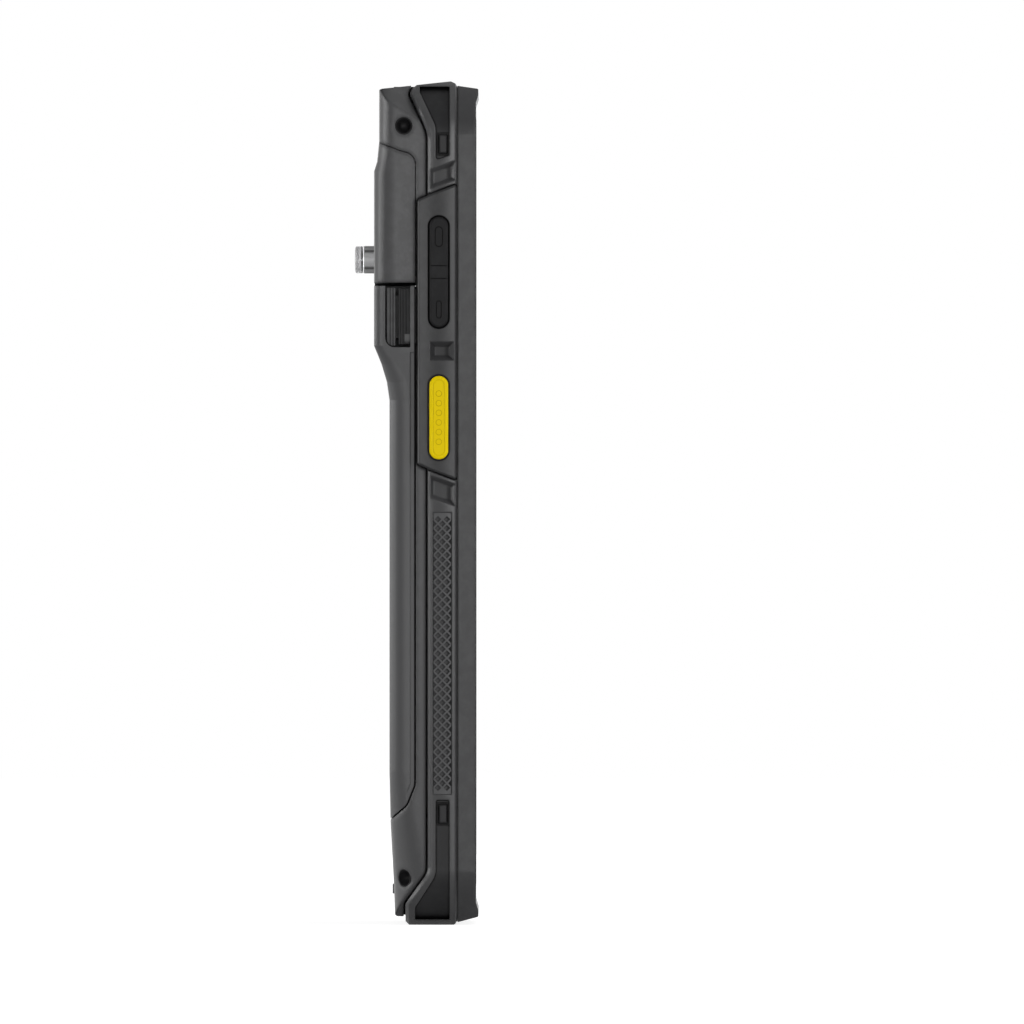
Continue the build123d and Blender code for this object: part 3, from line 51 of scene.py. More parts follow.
# ---------------------------------------------------------------- camera
pixels_per_mm = 5.127
picture_pixels = 1024
front_face_pixel = 476
floor_pixel = 925.5
lens = 1000.0
sensor = 36.0
picture_width = picture_pixels / pixels_per_mm * mm
camera_away = picture_width * lens / sensor
front_face_y = -11.675 * mm
side_face_x = -38.4 * mm
picture_middle = Vector(
    (
        side_face_x,
        front_face_y - (picture_pixels / 2 - front_face_pixel) / pixels_per_mm * mm,
        (floor_pixel - picture_pixels / 2) / pixels_per_mm * mm,
    )
)

camera_data = bpy.data.cameras.new("camera")
camera_data.type = "PERSP"
camera_data.lens = lens
camera_data.sensor_width = sensor
camera_data.clip_start = 0.05
camera_data.clip_end = 60
camera = bpy.data.objects.new("camera", camera_data)
camera.location = picture_middle - Vector((camera_away, 0, 0))
camera.rotation_euler = (radians(90), 0, radians(-90))
bpy.context.scene.collection.objects.link(camera)
bpy.context.scene.camera = camera


# ---------------------------------------------------------------- shader helpers
def linear(red, green, blue):
    """Linear colour from the 0-255 values of a finished picture."""
    channels = [value / 255 for value in (red, green, blue)]
    return tuple(v / 12.92 if v <= 0.04045 else ((v + 0.055) / 1.055) ** 2.4 for v in channels) + (1,)


def new_group(name, inputs, outputs):
    """Shader node group with named float and colour sockets, and its input and output nodes."""
    tree = bpy.data.node_groups.new(name, "ShaderNodeTree")
    for label, kind, default in inputs:
        socket = tree.interface.new_socket(name=label, in_out="INPUT", socket_type=kind)
        if default is not None:
            socket.default_value = default
    for label, kind in outputs:
        tree.interface.new_socket(name=label, in_out="OUTPUT", socket_type=kind)
    return tree, tree.nodes.new("NodeGroupInput"), tree.nodes.new("NodeGroupOutput")


def math_node(tree, operation, first, second=None, third=None, clamp=False):
    node = tree.nodes.new("ShaderNodeMath")
    node.operation = operation
    node.use_clamp = clamp
    for index, value in enumerate((first, second, third)):
        if value is None:
            continue
        if isinstance(value, bpy.types.NodeSocket):
            tree.links.new(value, node.inputs[index])
        else:
            node.inputs[index].default_value = value
    return node.outputs[0]


def noise(tree, coordinates, scale, detail=2.0, roughness=0.5):
    node = tree.nodes.new("ShaderNodeTexNoise")
    tree.links.new(coordinates, node.inputs["Vector"])
    if isinstance(scale, bpy.types.NodeSocket):
        tree.links.new(scale, node.inputs["Scale"])
    else:
        node.inputs["Scale"].default_value = scale
    node.inputs["Detail"].default_value = detail
    node.inputs["Roughness"].default_value = roughness
    return node.outputs["Fac"]


def moulded_finish():
    """Spark-eroded mould texture: fine grain height, handling sheen and faint tone changes."""
    tree, given, made = new_group(
        "moulded_finish",
        [
            ("Tone", "NodeSocketColor", (0.1, 0.1, 0.1, 1)),
            ("Roughness", "NodeSocketFloat", 0.5),
            ("Grain Scale", "NodeSocketFloat", 5200.0),
            ("Tone Change", "NodeSocketFloat", 0.06),
            ("Handling", "NodeSocketFloat", 0.06),
        ],
        [
            ("Color", "NodeSocketColor"),
            ("Roughness", "NodeSocketFloat"),
            ("Height", "NodeSocketFloat"),
        ],
    )
    place = tree.nodes.new("ShaderNodeTexCoord").outputs["Object"]
    grain = noise(tree, place, given.outputs["Grain Scale"], 3.0, 0.6)
    clouds = noise(tree, place, 55.0, 3.0, 0.55)
    smears = noise(tree, place, 140.0, 4.0, 0.6)
    lift = math_node(tree, "SUBTRACT", clouds, 0.5)
    speck = math_node(tree, "MULTIPLY", math_node(tree, "SUBTRACT", grain, 0.5), 0.35)
    shade = math_node(tree, "ADD", lift, speck)
    shade = math_node(tree, "MULTIPLY_ADD", shade, given.outputs["Tone Change"], 1.0)
    colour = tree.nodes.new("ShaderNodeVectorMath")
    colour.operation = "SCALE"
    tree.links.new(given.outputs["Tone"], colour.inputs[0])
    tree.links.new(shade, colour.inputs["Scale"])
    sheen = math_node(tree, "MULTIPLY", math_node(tree, "SUBTRACT", smears, 0.5), given.outputs["Handling"])
    rough = math_node(tree, "ADD", given.outputs["Roughness"], sheen, clamp=True)
    tree.links.new(colour.outputs[0], made.inputs["Color"])
    tree.links.new(rough, made.inputs["Roughness"])
    tree.links.new(grain, made.inputs["Height"])
    return tree


def wear_and_recess_shade():
    """Paler, shinier outer edges from wear, and painted shade: colour darkened in recesses and gaps by
    ambient occlusion.
    """
    tree, given, made = new_group(
        "wear_and_recess_shade",
        [
            ("Color", "NodeSocketColor", (0.1, 0.1, 0.1, 1)),
            ("Roughness", "NodeSocketFloat", 0.5),
            ("Worn Color", "NodeSocketColor", (0.2, 0.2, 0.2, 1)),
            ("Amount", "NodeSocketFloat", 0.3),
            ("Recess", "NodeSocketFloat", 0.8),
        ],
        [("Color", "NodeSocketColor"), ("Roughness", "NodeSocketFloat")],
    )
    place = tree.nodes.new("ShaderNodeTexCoord").outputs["Object"]
    breakup = noise(tree, place, 420.0, 4.0, 0.65)
    edges = tree.nodes.new("ShaderNodeMapRange")
    edges.inputs["From Min"].default_value = 0.52
    edges.inputs["From Max"].default_value = 0.62
    tree.links.new(tree.nodes.new("ShaderNodeNewGeometry").outputs["Pointiness"], edges.inputs["Value"])
    patch = tree.nodes.new("ShaderNodeMapRange")
    patch.inputs["From Min"].default_value = 0.42
    patch.inputs["From Max"].default_value = 0.66
    tree.links.new(breakup, patch.inputs["Value"])
    mask = math_node(tree, "MULTIPLY", edges.outputs[0], patch.outputs[0])
    mask = math_node(tree, "MULTIPLY", mask, given.outputs["Amount"], clamp=True)
    mix = tree.nodes.new("ShaderNodeMix")
    mix.data_type = "RGBA"
    tree.links.new(mask, mix.inputs["Factor"])
    tree.links.new(given.outputs["Color"], mix.inputs["A"])
    tree.links.new(given.outputs["Worn Color"], mix.inputs["B"])
    shine = math_node(tree, "MULTIPLY_ADD", mask, -0.12, given.outputs["Roughness"])
    # Painted shade: the ambient occlusion below darkens the colour in recesses, creases and gaps between
    # parts, where shade falls.
    hollow = tree.nodes.new("ShaderNodeAmbientOcclusion")
    hollow.samples = 8
    hollow.inputs["Distance"].default_value = 0.9 * mm
    open_share = tree.nodes.new("ShaderNodeMapRange")
    open_share.inputs["From Min"].default_value = 0.25
    open_share.inputs["From Max"].default_value = 0.85
    tree.links.new(hollow.outputs["AO"], open_share.inputs["Value"])
    shut = math_node(tree, "SUBTRACT", 1.0, open_share.outputs[0])
    kept = math_node(tree, "MULTIPLY", shut, given.outputs["Recess"])
    kept = math_node(tree, "SUBTRACT", 1.0, kept, clamp=True)
    dark = tree.nodes.new("ShaderNodeVectorMath")
    dark.operation = "SCALE"
    tree.links.new(mix.outputs["Result"], dark.inputs[0])
    tree.links.new(kept, dark.inputs["Scale"])
    tree.links.new(dark.outputs[0], made.inputs["Color"])
    tree.links.new(shine, made.inputs["Roughness"])
    return tree


moulded = moulded_finish()
wear_and_shade_group = wear_and_recess_shade()


def new_material(name):
    """Material with an empty node tree, its Principled shader and the output."""
    material = bpy.data.materials.new(name)
    material.use_nodes = True
    tree = material.node_tree
    tree.nodes.clear()
    shader = tree.nodes.new("ShaderNodeBsdfPrincipled")
    out = tree.nodes.new("ShaderNodeOutputMaterial")
    tree.links.new(shader.outputs["BSDF"], out.inputs["Surface"])
    return material, tree, shader


def place_group(tree, group, **values):
    node = tree.nodes.new("ShaderNodeGroup")
    node.node_tree = group
    for label, value in values.items():
        node.inputs[label.replace("_", " ")].default_value = value
    return node


def crown_height():
    """Height in mm of a side that bows; its slope changes evenly from its rear to its front edge."""
    tree, given, made = new_group(
        "crown_height",
        [
            ("Rear Edge", "NodeSocketFloat", 0.0),
            ("Width", "NodeSocketFloat", 0.01),
            ("Rear Slope", "NodeSocketFloat", 0.0),
            ("Front Slope", "NodeSocketFloat", 0.3),
        ],
        [("Height", "NodeSocketFloat")],
    )
    split = tree.nodes.new("ShaderNodeSeparateXYZ")
    tree.links.new(tree.nodes.new("ShaderNodeTexCoord").outputs["Object"], split.inputs[0])
    ahead = math_node(tree, "SUBTRACT", given.outputs["Rear Edge"], split.outputs["Y"])
    change = math_node(tree, "SUBTRACT", given.outputs["Front Slope"], given.outputs["Rear Slope"])
    change = math_node(tree, "DIVIDE", change, given.outputs["Width"])
    within = math_node(tree, "MINIMUM", ahead, given.outputs["Width"])
    within = math_node(tree, "MAXIMUM", within, 0.0)
    curve = math_node(tree, "MULTIPLY_ADD", within, -0.5, ahead)
    curve = math_node(tree, "MULTIPLY", math_node(tree, "MULTIPLY", curve, within), change)
    fall = math_node(tree, "MULTIPLY_ADD", ahead, given.outputs["Rear Slope"], curve)
    tree.links.new(math_node(tree, "MULTIPLY", fall, -1000.0), made.inputs["Height"])
    return tree


def bump_from(tree, height, distance, strength, shader, softened=0.0, crown=None):
    """Bump from a height socket, over edges rounded by softened and a side that crown bows."""
    bump = tree.nodes.new("ShaderNodeBump")
    bump.inputs["Distance"].default_value = distance
    bump.inputs["Strength"].default_value = strength
    tree.links.new(height, bump.inputs["Height"])
    under = bump.inputs["Normal"]
    if crown:
        bow = tree.nodes.new("ShaderNodeBump")
        bow.inputs["Distance"].default_value = mm
        bow.inputs["Strength"].default_value = 1.0
        shape = place_group(tree, crowned, **crown)
        tree.links.new(shape.outputs["Height"], bow.inputs["Height"])
        tree.links.new(bow.outputs["Normal"], under)
        under = bow.inputs["Normal"]
    if softened:
        rounding = tree.nodes.new("ShaderNodeBevel")
        rounding.samples = 6
        rounding.inputs["Radius"].default_value = softened
        tree.links.new(rounding.outputs["Normal"], under)
    tree.links.new(bump.outputs["Normal"], shader.inputs["Normal"])


crowned = crown_height()
end_roughness = 0.45  # added on faces that look up or down, so the ends don't mirror a lamp


def join_finish(tree, finish, shader):
    """Colour and roughness of a finish straight into the shader."""
    tree.links.new(finish.outputs["Color"], shader.inputs["Base Color"])
    tree.links.new(finish.outputs["Roughness"], shader.inputs["Roughness"])


def moulded_plastic(
    name,
    tone,
    roughness,
    grain=5200.0,
    bump=0.25,
    wear=0.2,
    worn_tone=None,
    softened=0.00025,
    recess=0.85,
    gloss=0.25,
    crown=None,
):
    """Satin moulded plastic with grain, faint handling marks, paler edges from wear and painted shade in its
    recesses.
    """
    material, tree, shader = new_material(name)
    finish = place_group(
        tree, moulded, Tone=tone, Roughness=roughness, Grain_Scale=grain, Tone_Change=0.025, Handling=0.03
    )
    pale = worn_tone or tuple(min(1, 2.1 * channel + 0.02) for channel in tone[:3]) + (1,)
    # This group pales edges from wear and paints shade into recesses and gaps; recess sets how dark the
    # painted shade is.
    rubbed_and_shaded = place_group(tree, wear_and_shade_group, Worn_Color=pale, Amount=wear, Recess=recess)
    tree.links.new(finish.outputs["Color"], rubbed_and_shaded.inputs["Color"])
    tree.links.new(finish.outputs["Roughness"], rubbed_and_shaded.inputs["Roughness"])
    tree.links.new(rubbed_and_shaded.outputs["Color"], shader.inputs["Base Color"])
    facing = tree.nodes.new("ShaderNodeSeparateXYZ")
    tree.links.new(tree.nodes.new("ShaderNodeTexCoord").outputs["Normal"], facing.inputs[0])
    upright = math_node(tree, "ABSOLUTE", facing.outputs["Z"])
    coarse = math_node(tree, "MULTIPLY_ADD", upright, end_roughness, rubbed_and_shaded.outputs["Roughness"], clamp=True)
    tree.links.new(coarse, shader.inputs["Roughness"])
    bump_from(tree, finish.outputs["Height"], 0.00004, bump, shader, softened, crown)
    shader.inputs["IOR"].default_value = 1.5
    shader.inputs["Specular IOR Level"].default_value = gloss
    return material


def metal(name, tone, roughness, scratch_scale=(900.0, 900.0, 60.0), bump=0.15):
    """Drawn or pressed metal with fine directional scratches."""
    material, tree, shader = new_material(name)
    place = tree.nodes.new("ShaderNodeTexCoord").outputs["Object"]
    stretch = tree.nodes.new("ShaderNodeMapping")
    stretch.inputs["Scale"].default_value = scratch_scale
    tree.links.new(place, stretch.inputs["Vector"])
    scratches = noise(tree, stretch.outputs["Vector"], 6.0, 5.0, 0.7)
    finish = place_group(tree, moulded, Tone=tone, Roughness=roughness, Grain_Scale=2400.0, Tone_Change=0.12)
    tree.links.new(finish.outputs["Color"], shader.inputs["Base Color"])
    rough = math_node(tree, "MULTIPLY_ADD", scratches, 0.18, finish.outputs["Roughness"])
    tree.links.new(rough, shader.inputs["Roughness"])
    shader.inputs["Metallic"].default_value = 1.0
    bump_from(tree, scratches, 0.00003, bump, shader)
    return material


def glossy_cover(name, tone, roughness, coat=0.0, grease=0.05):
    """Dark glossy cover with a faint oily film in patches."""
    material, tree, shader = new_material(name)
    finish = place_group(
        tree, moulded, Tone=tone, Roughness=roughness, Grain_Scale=600.0, Tone_Change=0.05, Handling=grease
    )
    join_finish(tree, finish, shader)
    bump_from(tree, finish.outputs["Height"], 0.000004, 0.2, shader)
    shader.inputs["IOR"].default_value = 1.52
    shader.inputs["Coat Weight"].default_value = coat
    shader.inputs["Coat Roughness"].default_value = 0.03
    return material


clear_ior = 1.49


def clear_plastic(name, tone, roughness, transmission):
    """Clear moulded plastic with faint flow marks and a slightly uneven polish."""
    material, tree, shader = new_material(name)
    finish = place_group(
        tree, moulded, Tone=tone, Roughness=roughness, Grain_Scale=900.0, Tone_Change=0.02, Handling=0.03
    )
    join_finish(tree, finish, shader)
    bump_from(tree, finish.outputs["Height"], 0.000006, 0.25, shader)
    shader.inputs["IOR"].default_value = clear_ior
    shader.inputs["Transmission Weight"].default_value = transmission
    return material


def edged_clear(name, tone, painted_edge_shades, roughness, transmission=1.0):
    """Clear moulding whose colour darkens in bands towards its grazing edges: painted reflection and shade
    that stand in for how light passes through and reflects off thick clear walls.
    """
    material, tree, shader = new_material(name)
    # Painted reflection and shade: the colour below is set by the viewing angle, not by the lamps.
    facing = tree.nodes.new("ShaderNodeLayerWeight")
    facing.inputs["Blend"].default_value = 0.5
    bands = tree.nodes.new("ShaderNodeValToRGB")
    ramp = bands.color_ramp
    while len(ramp.elements) < len(painted_edge_shades):
        ramp.elements.new(0.5)
    for element, (place, shade) in zip(ramp.elements, painted_edge_shades):
        element.position = place
        element.color = (shade, shade, shade, 1)
    tree.links.new(facing.outputs["Facing"], bands.inputs["Fac"])
    finish = place_group(
        tree, moulded, Tone=tone, Roughness=roughness, Grain_Scale=900.0, Tone_Change=0.02, Handling=0.03
    )
    both = tree.nodes.new("ShaderNodeVectorMath")
    both.operation = "MULTIPLY"
    tree.links.new(finish.outputs["Color"], both.inputs[0])
    tree.links.new(bands.outputs["Color"], both.inputs[1])
    tree.links.new(both.outputs[0], shader.inputs["Base Color"])
    tree.links.new(finish.outputs["Roughness"], shader.inputs["Roughness"])
    bump_from(tree, finish.outputs["Height"], 0.000006, 0.25, shader)
    shader.inputs["IOR"].default_value = clear_ior
    shader.inputs["Transmission Weight"].default_value = transmission
    return material


display_half_width = 0.0312
display_half_height = 0.0665
display_middle_z = 0.0815
border_blur = 0.00005


def screen_cover():
    """Cover glass: printed black border round a slightly paler, bluish switched-off display."""
    material, tree, shader = new_material("screen_glass")
    place = tree.nodes.new("ShaderNodeTexCoord").outputs["Object"]
    split = tree.nodes.new("ShaderNodeSeparateXYZ")
    tree.links.new(place, split.inputs[0])
    across = math_node(tree, "SUBTRACT", math_node(tree, "ABSOLUTE", split.outputs["X"]), display_half_width)
    upright = math_node(tree, "ABSOLUTE", math_node(tree, "SUBTRACT", split.outputs["Z"], display_middle_z))
    upright = math_node(tree, "SUBTRACT", upright, display_half_height)
    outside = math_node(tree, "MAXIMUM", across, upright)
    border = tree.nodes.new("ShaderNodeMapRange")
    border.inputs["From Min"].default_value = -border_blur
    border.inputs["From Max"].default_value = border_blur
    tree.links.new(outside, border.inputs["Value"])
    mix = tree.nodes.new("ShaderNodeMix")
    mix.data_type = "RGBA"
    tree.links.new(border.outputs[0], mix.inputs["Factor"])
    mix.inputs["A"].default_value = linear(26, 28, 33)
    mix.inputs["B"].default_value = linear(9, 9, 10)
    finish = place_group(tree, moulded, Roughness=0.07, Grain_Scale=600.0, Tone_Change=0.04, Handling=0.08)
    tree.links.new(mix.outputs["Result"], finish.inputs["Tone"])
    join_finish(tree, finish, shader)
    bump_from(tree, finish.outputs["Height"], 0.000003, 0.2, shader)
    shader.inputs["IOR"].default_value = 1.52
    return material


screen_glass = screen_cover()

# ---------------------------------------------------------------- finishes
def bow(rear_depth, front_depth, rear_slope, front_slope):
    """Settings of crown_height between two depths in mm; a positive slope faces forwards."""
    return {
        "Rear_Edge": front_face_y + rear_depth * mm,
        "Width": (rear_depth - front_depth) * mm,
        "Rear_Slope": rear_slope,
        "Front_Slope": front_slope,
    }


side_bow = bow(11.6, 3.9, 0.0, 0.62)
housing_grey = moulded_plastic(
    "housing_grey", linear(66, 66, 67), 0.38, softened=0.0012, recess=0.3, crown=bow(19.9, 15.5, -0.75, 0.0)
)
battery_grey = moulded_plastic(
    "battery_grey", linear(73, 73, 74), 0.38, softened=0.0002, recess=0.5, crown=bow(16.6, 11.9, 0.35, 0.15)
)
bumper_grey = moulded_plastic(
    "bumper_grey", linear(54, 54, 55), 0.3, softened=0.0005, recess=0.2, gloss=0.3, crown=side_bow
)
frame_grey = moulded_plastic("frame_grey", linear(50, 50, 51), 0.3, softened=0.0008, recess=0.1, gloss=0.2)
panel_grey = moulded_plastic(
    "panel_grey", linear(42, 42, 43), 0.38, softened=0.0003, recess=0.6, gloss=0.25, crown=side_bow
)
guard_rubber = moulded_plastic("guard_rubber", linear(36, 36, 37), 0.4, grain=3600.0, wear=0.1, gloss=0.15)
grip_rubber = moulded_plastic(
    "grip_rubber", linear(72, 72, 73), 0.42, grain=3600.0, wear=0.3, softened=0.00006, crown=side_bow
)
gasket_rubber = moulded_plastic("gasket_rubber", linear(18, 18, 19), 0.7, wear=0.0, softened=0)
key_dark = moulded_plastic("key_dark", linear(27, 27, 28), 0.45, softened=0.00012, recess=1.0, gloss=0.08)
key_yellow = moulded_plastic(
    "key_yellow",
    linear(238, 209, 4),
    0.45,
    bump=0.12,
    worn_tone=linear(246, 224, 60),
    softened=0.0001,
    recess=1.0,
    gloss=0.06,
)
key_ring_yellow = moulded_plastic(
    "key_ring_yellow", linear(196, 162, 2), 0.5, bump=0.1, wear=0.0, softened=0, recess=0.2, gloss=0.05
)
black_plastic = moulded_plastic("black_plastic", linear(18, 18, 19), 0.45, softened=0.0001, gloss=0.1)
# Black that paints the shade inside the strap sockets.
socket_shade_black = moulded_plastic(
    "socket_shade_black", linear(26, 26, 27), 0.4, wear=0.0, softened=0, recess=0.6, gloss=0.1
)
latch_dark = moulded_plastic("latch_dark", linear(62, 62, 63), 0.42, softened=0.00008, recess=0.9, gloss=0.2)
pad_dark = moulded_plastic("pad_dark", linear(38, 38, 39), 0.42, softened=0.00008, recess=0.9, gloss=0.1)
module_black = moulded_plastic("module_black", linear(20, 20, 22), 0.35, wear=0.1, softened=0)
window_red = glossy_cover("window_red", linear(58, 10, 16), 0.05, coat=0.5)
camera_glass = glossy_cover("camera_glass", linear(12, 12, 18), 0.04, coat=0.8)
# Painted reflection and shade of the clear post, its lens and its barrel: colour ramps by viewing angle,
# darker or lighter towards the grazing edges.
post_painted_bands = ((0.0, 0.94), (0.55, 0.88), (0.85, 0.3))
post_clear = edged_clear("post_clear", (0.93, 0.93, 0.94, 1), post_painted_bands, 0.04)
lens_painted_bands = ((0.0, 0.95), (0.3, 0.8), (0.5, 0.4), (1.0, 0.25))
lens_clear = edged_clear("lens_clear", (0.95, 0.95, 0.96, 1), lens_painted_bands, 0.25, 0.0)
# The barrel's dark and light steps paint the reflections of a polished round surface.
barrel_painted_bands = (
    (0.0, 0.82),
    (0.1, 0.7),
    (0.18, 0.09),
    (0.26, 0.1),
    (0.32, 0.45),
    (0.5, 0.38),
    (0.6, 0.03),
    (1.0, 0.01),
)
barrel_grey = edged_clear("barrel_grey", (0.9, 0.9, 0.91, 1), barrel_painted_bands, 0.3, 0.0)
flash_frosted = clear_plastic("flash_frosted", (0.95, 0.93, 0.82, 1), 0.35, 0.55)
mesh_steel = metal("mesh_steel", linear(96, 96, 98), 0.35)
pressed_steel = metal("pressed_steel", linear(176, 178, 180), 0.28)
spring_steel = metal("spring_steel", linear(150, 150, 152), 0.25)
screw_steel = metal("screw_steel", linear(72, 72, 76), 0.35)
contact_nickel = metal("contact_nickel", linear(92, 92, 93), 0.4)
gold_plate = metal("gold_plate", linear(168, 150, 112), 0.3)
cast_alloy = metal("cast_alloy", linear(140, 142, 145), 0.5, scratch_scale=(300.0, 300.0, 300.0), bump=0.4)
cell_foil = metal("cell_foil", linear(168, 170, 174), 0.42, scratch_scale=(400.0, 60.0, 400.0))
board_green = glossy_cover("board_green", linear(18, 74, 44), 0.3)
flex_amber = glossy_cover("flex_amber", linear(150, 96, 26), 0.35)

finishes = {
    "frame_plastic": frame_grey,
    "bumper_plastic": bumper_grey,
    "panel_plastic": panel_grey,
    "housing_plastic": housing_grey,
    "black_plastic": black_plastic,
    "latch_plastic": latch_dark,
    "dark_key": key_dark,
    "yellow_key": key_yellow,
    "guard_rubber": guard_rubber,
    "grip_rubber": grip_rubber,
    "black_rubber": gasket_rubber,
    "screen_glass": screen_glass,
    "window_glass": window_red,
    "camera_glass": camera_glass,
    "clear_plastic": post_clear,
    "frosted_lens": flash_frosted,
    "dark_module": module_black,
    "steel_mesh": mesh_steel,
    "bright_steel": pressed_steel,
    "spring_steel": spring_steel,
    "screw_steel": screw_steel,
    "gold_contact": gold_plate,
    "cast_chassis": cast_alloy,
    "circuit_board": board_green,
    "flex_circuit": flex_amber,
    "foil_cell": cell_foil,
}
for subpart in frame["record"]["subparts"]:
    mesh = nodes[subpart["node"]].data
    mesh.materials.clear()
    mesh.materials.append(finishes[subpart["material_slot"]])
nodes["battery_cover"].data.materials[0] = battery_grey
nodes["charge_contacts"].data.materials[0] = contact_nickel


# ---------------------------------------------------------------- floor and light
def seen_by_eye(tree):
    """1 for rays from the camera and for those that come by way of gloss or glass, else 0."""
    ray = tree.nodes.new("ShaderNodeLightPath")
    total = math_node(tree, "ADD", ray.outputs["Is Camera Ray"], ray.outputs["Is Glossy Ray"])
    return math_node(tree, "ADD", total, ray.outputs["Is Transmission Ray"], clamp=True)


def floor_finish():
    """Pale matt floor that looks white apart from the object's shadow."""
    material, tree, shader = new_material("floor_pale")
    shader.inputs["Base Color"].default_value = (0.5, 0.5, 0.5, 1)
    shader.inputs["Roughness"].default_value = 1.0
    shader.inputs["Specular IOR Level"].default_value = 0.0
    glow = tree.nodes.new("ShaderNodeEmission")
    away = tree.nodes.new("ShaderNodeVectorMath")
    away.operation = "LENGTH"
    tree.links.new(tree.nodes.new("ShaderNodeTexCoord").outputs["Object"], away.inputs[0])
    paler = tree.nodes.new("ShaderNodeMapRange")
    paler.inputs["From Min"].default_value = 0.1
    paler.inputs["From Max"].default_value = 0.6
    paler.inputs["To Min"].default_value = 0.8
    paler.inputs["To Max"].default_value = 1.0
    tree.links.new(away.outputs["Value"], paler.inputs["Value"])
    tree.links.new(paler.outputs[0], glow.inputs["Strength"])
    both = tree.nodes.new("ShaderNodeAddShader")
    tree.links.new(shader.outputs["BSDF"], both.inputs[0])
    tree.links.new(glow.outputs["Emission"], both.inputs[1])
    mix = tree.nodes.new("ShaderNodeMixShader")
    tree.links.new(seen_by_eye(tree), mix.inputs["Fac"])
    tree.links.new(shader.outputs["BSDF"], mix.inputs[1])
    tree.links.new(both.outputs["Shader"], mix.inputs[2])
    out = next(node for node in tree.nodes if node.type == "OUTPUT_MATERIAL")
    tree.links.new(mix.outputs["Shader"], out.inputs["Surface"])
    return material


bpy.ops.object.select_all(action="DESELECT")
bpy.ops.mesh.primitive_plane_add(size=6)
floor = bpy.context.object
floor.name = "floor"
floor.data.materials.append(floor_finish())

world = bpy.data.worlds.new("studio")
bpy.context.scene.world = world
world.use_nodes = True
sky = world.node_tree
sky.nodes.clear()
sky_out = sky.nodes.new("ShaderNodeOutputWorld")
room = sky.nodes.new("ShaderNodeBackground")
room.inputs["Color"].default_value = (1, 1, 1, 1)
room.inputs["Strength"].default_value = 0.12
white = sky.nodes.new("ShaderNodeBackground")
white.inputs["Color"].default_value = (1, 1, 1, 1)
white.inputs["Strength"].default_value = 1.0
mix = sky.nodes.new("ShaderNodeMixShader")
sky.links.new(seen_by_eye(sky), mix.inputs["Fac"])
sky.links.new(room.outputs["Background"], mix.inputs[1])
sky.links.new(white.outputs["Background"], mix.inputs[2])
sky.links.new(mix.outputs["Shader"], sky_out.inputs["Surface"])


def soft_lamp(name, place, aim, size, power):
    """Area lamp at a place, aimed at a point."""
    data = bpy.data.lights.new(name, "AREA")
    data.shape = "RECTANGLE"
    data.size, data.size_y = size
    data.energy = power
    lamp = bpy.data.objects.new(name, data)
    lamp.location = place
    lamp.rotation_euler = (Vector(aim) - Vector(place)).to_track_quat("-Z", "Y").to_euler()
    bpy.context.scene.collection.objects.link(lamp)


middle = (0, 0, 0.085)
tall_lamp = (0.3, 0.4)
wide_lamp = (0.7, 0.3)
broad_lamp = (1.4, 0.9)
soft_lamp("rear_left", (-0.25, 0.95, 0.3), middle, tall_lamp, 3.8)
soft_lamp("rear_right", (0.25, 0.95, 0.3), middle, tall_lamp, 3.8)
soft_lamp("front_left", (-0.45, -0.85, 0.25), middle, tall_lamp, 3.4)
soft_lamp("front_right", (0.45, -0.85, 0.25), middle, tall_lamp, 3.4)
soft_lamp("side_fill", (-1.1, -0.1, 0.15), middle, wide_lamp, 3.4)
soft_lamp("far_side", (1.1, -0.1, 0.15), middle, broad_lamp, 3.4)
soft_lamp("overhead", (0, -0.5, 1.1), middle, broad_lamp, 3.6)


# ---------------------------------------------------------------- modelling helpers
def deselect():
    if bpy.context.object and bpy.context.object.mode != "OBJECT":
        bpy.ops.object.mode_set(mode="OBJECT")
    bpy.ops.object.select_all(action="DESELECT")


def edit(obj):
    """Edit mode on one object, in face select, with nothing selected."""
    deselect()
    obj.select_set(True)
    bpy.context.view_layer.objects.active = obj
    bpy.ops.object.mode_set(mode="EDIT")
    bpy.ops.mesh.select_mode(type="FACE")
    bpy.ops.mesh.select_all(action="DESELECT")


def pick(obj, test, kind="FACE"):
    """Select in edit mode the faces, edges or vertices whose middle passes the test."""
    bpy.ops.mesh.select_mode(type=kind)
    bpy.ops.mesh.select_all(action="DESELECT")
    mesh = bmesh.from_edit_mesh(obj.data)
    if kind == "FACE":
        for face in mesh.faces:
            face.select_set(test(face.calc_center_median(), face.normal))
    elif kind == "EDGE":
        for edge in mesh.edges:
            edge.select_set(test((edge.verts[0].co + edge.verts[1].co) / 2, edge))
    else:
        for vert in mesh.verts:
            vert.select_set(test(vert.co, vert))
    mesh.select_flush_mode()
    bmesh.update_edit_mesh(obj.data)


def settle(obj, name, finish, body, stands_for=(), angle=30):
    """Put the place into the mesh, tidy and shade it, and join the piece to its body."""
    deselect()
    obj.select_set(True)
    bpy.context.view_layer.objects.active = obj
    bpy.ops.object.transform_apply(location=True, rotation=True, scale=True)
    bpy.ops.object.mode_set(mode="EDIT")
    bpy.ops.mesh.select_all(action="SELECT")
    bpy.ops.mesh.remove_doubles(threshold=0.0000005)
    bpy.ops.mesh.normals_make_consistent(inside=False)
    bpy.ops.object.mode_set(mode="OBJECT")
    bpy.ops.object.shade_smooth_by_angle(angle=radians(angle))
    obj.name = name
    obj.data.name = name
    obj.data.materials.clear()
    obj.data.materials.append(finish)
    if stands_for:
        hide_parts(*stands_for)
    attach(obj, body)


def depth_y(depth):
    """Y of a depth in mm behind the front face."""
    return front_face_y + depth * mm


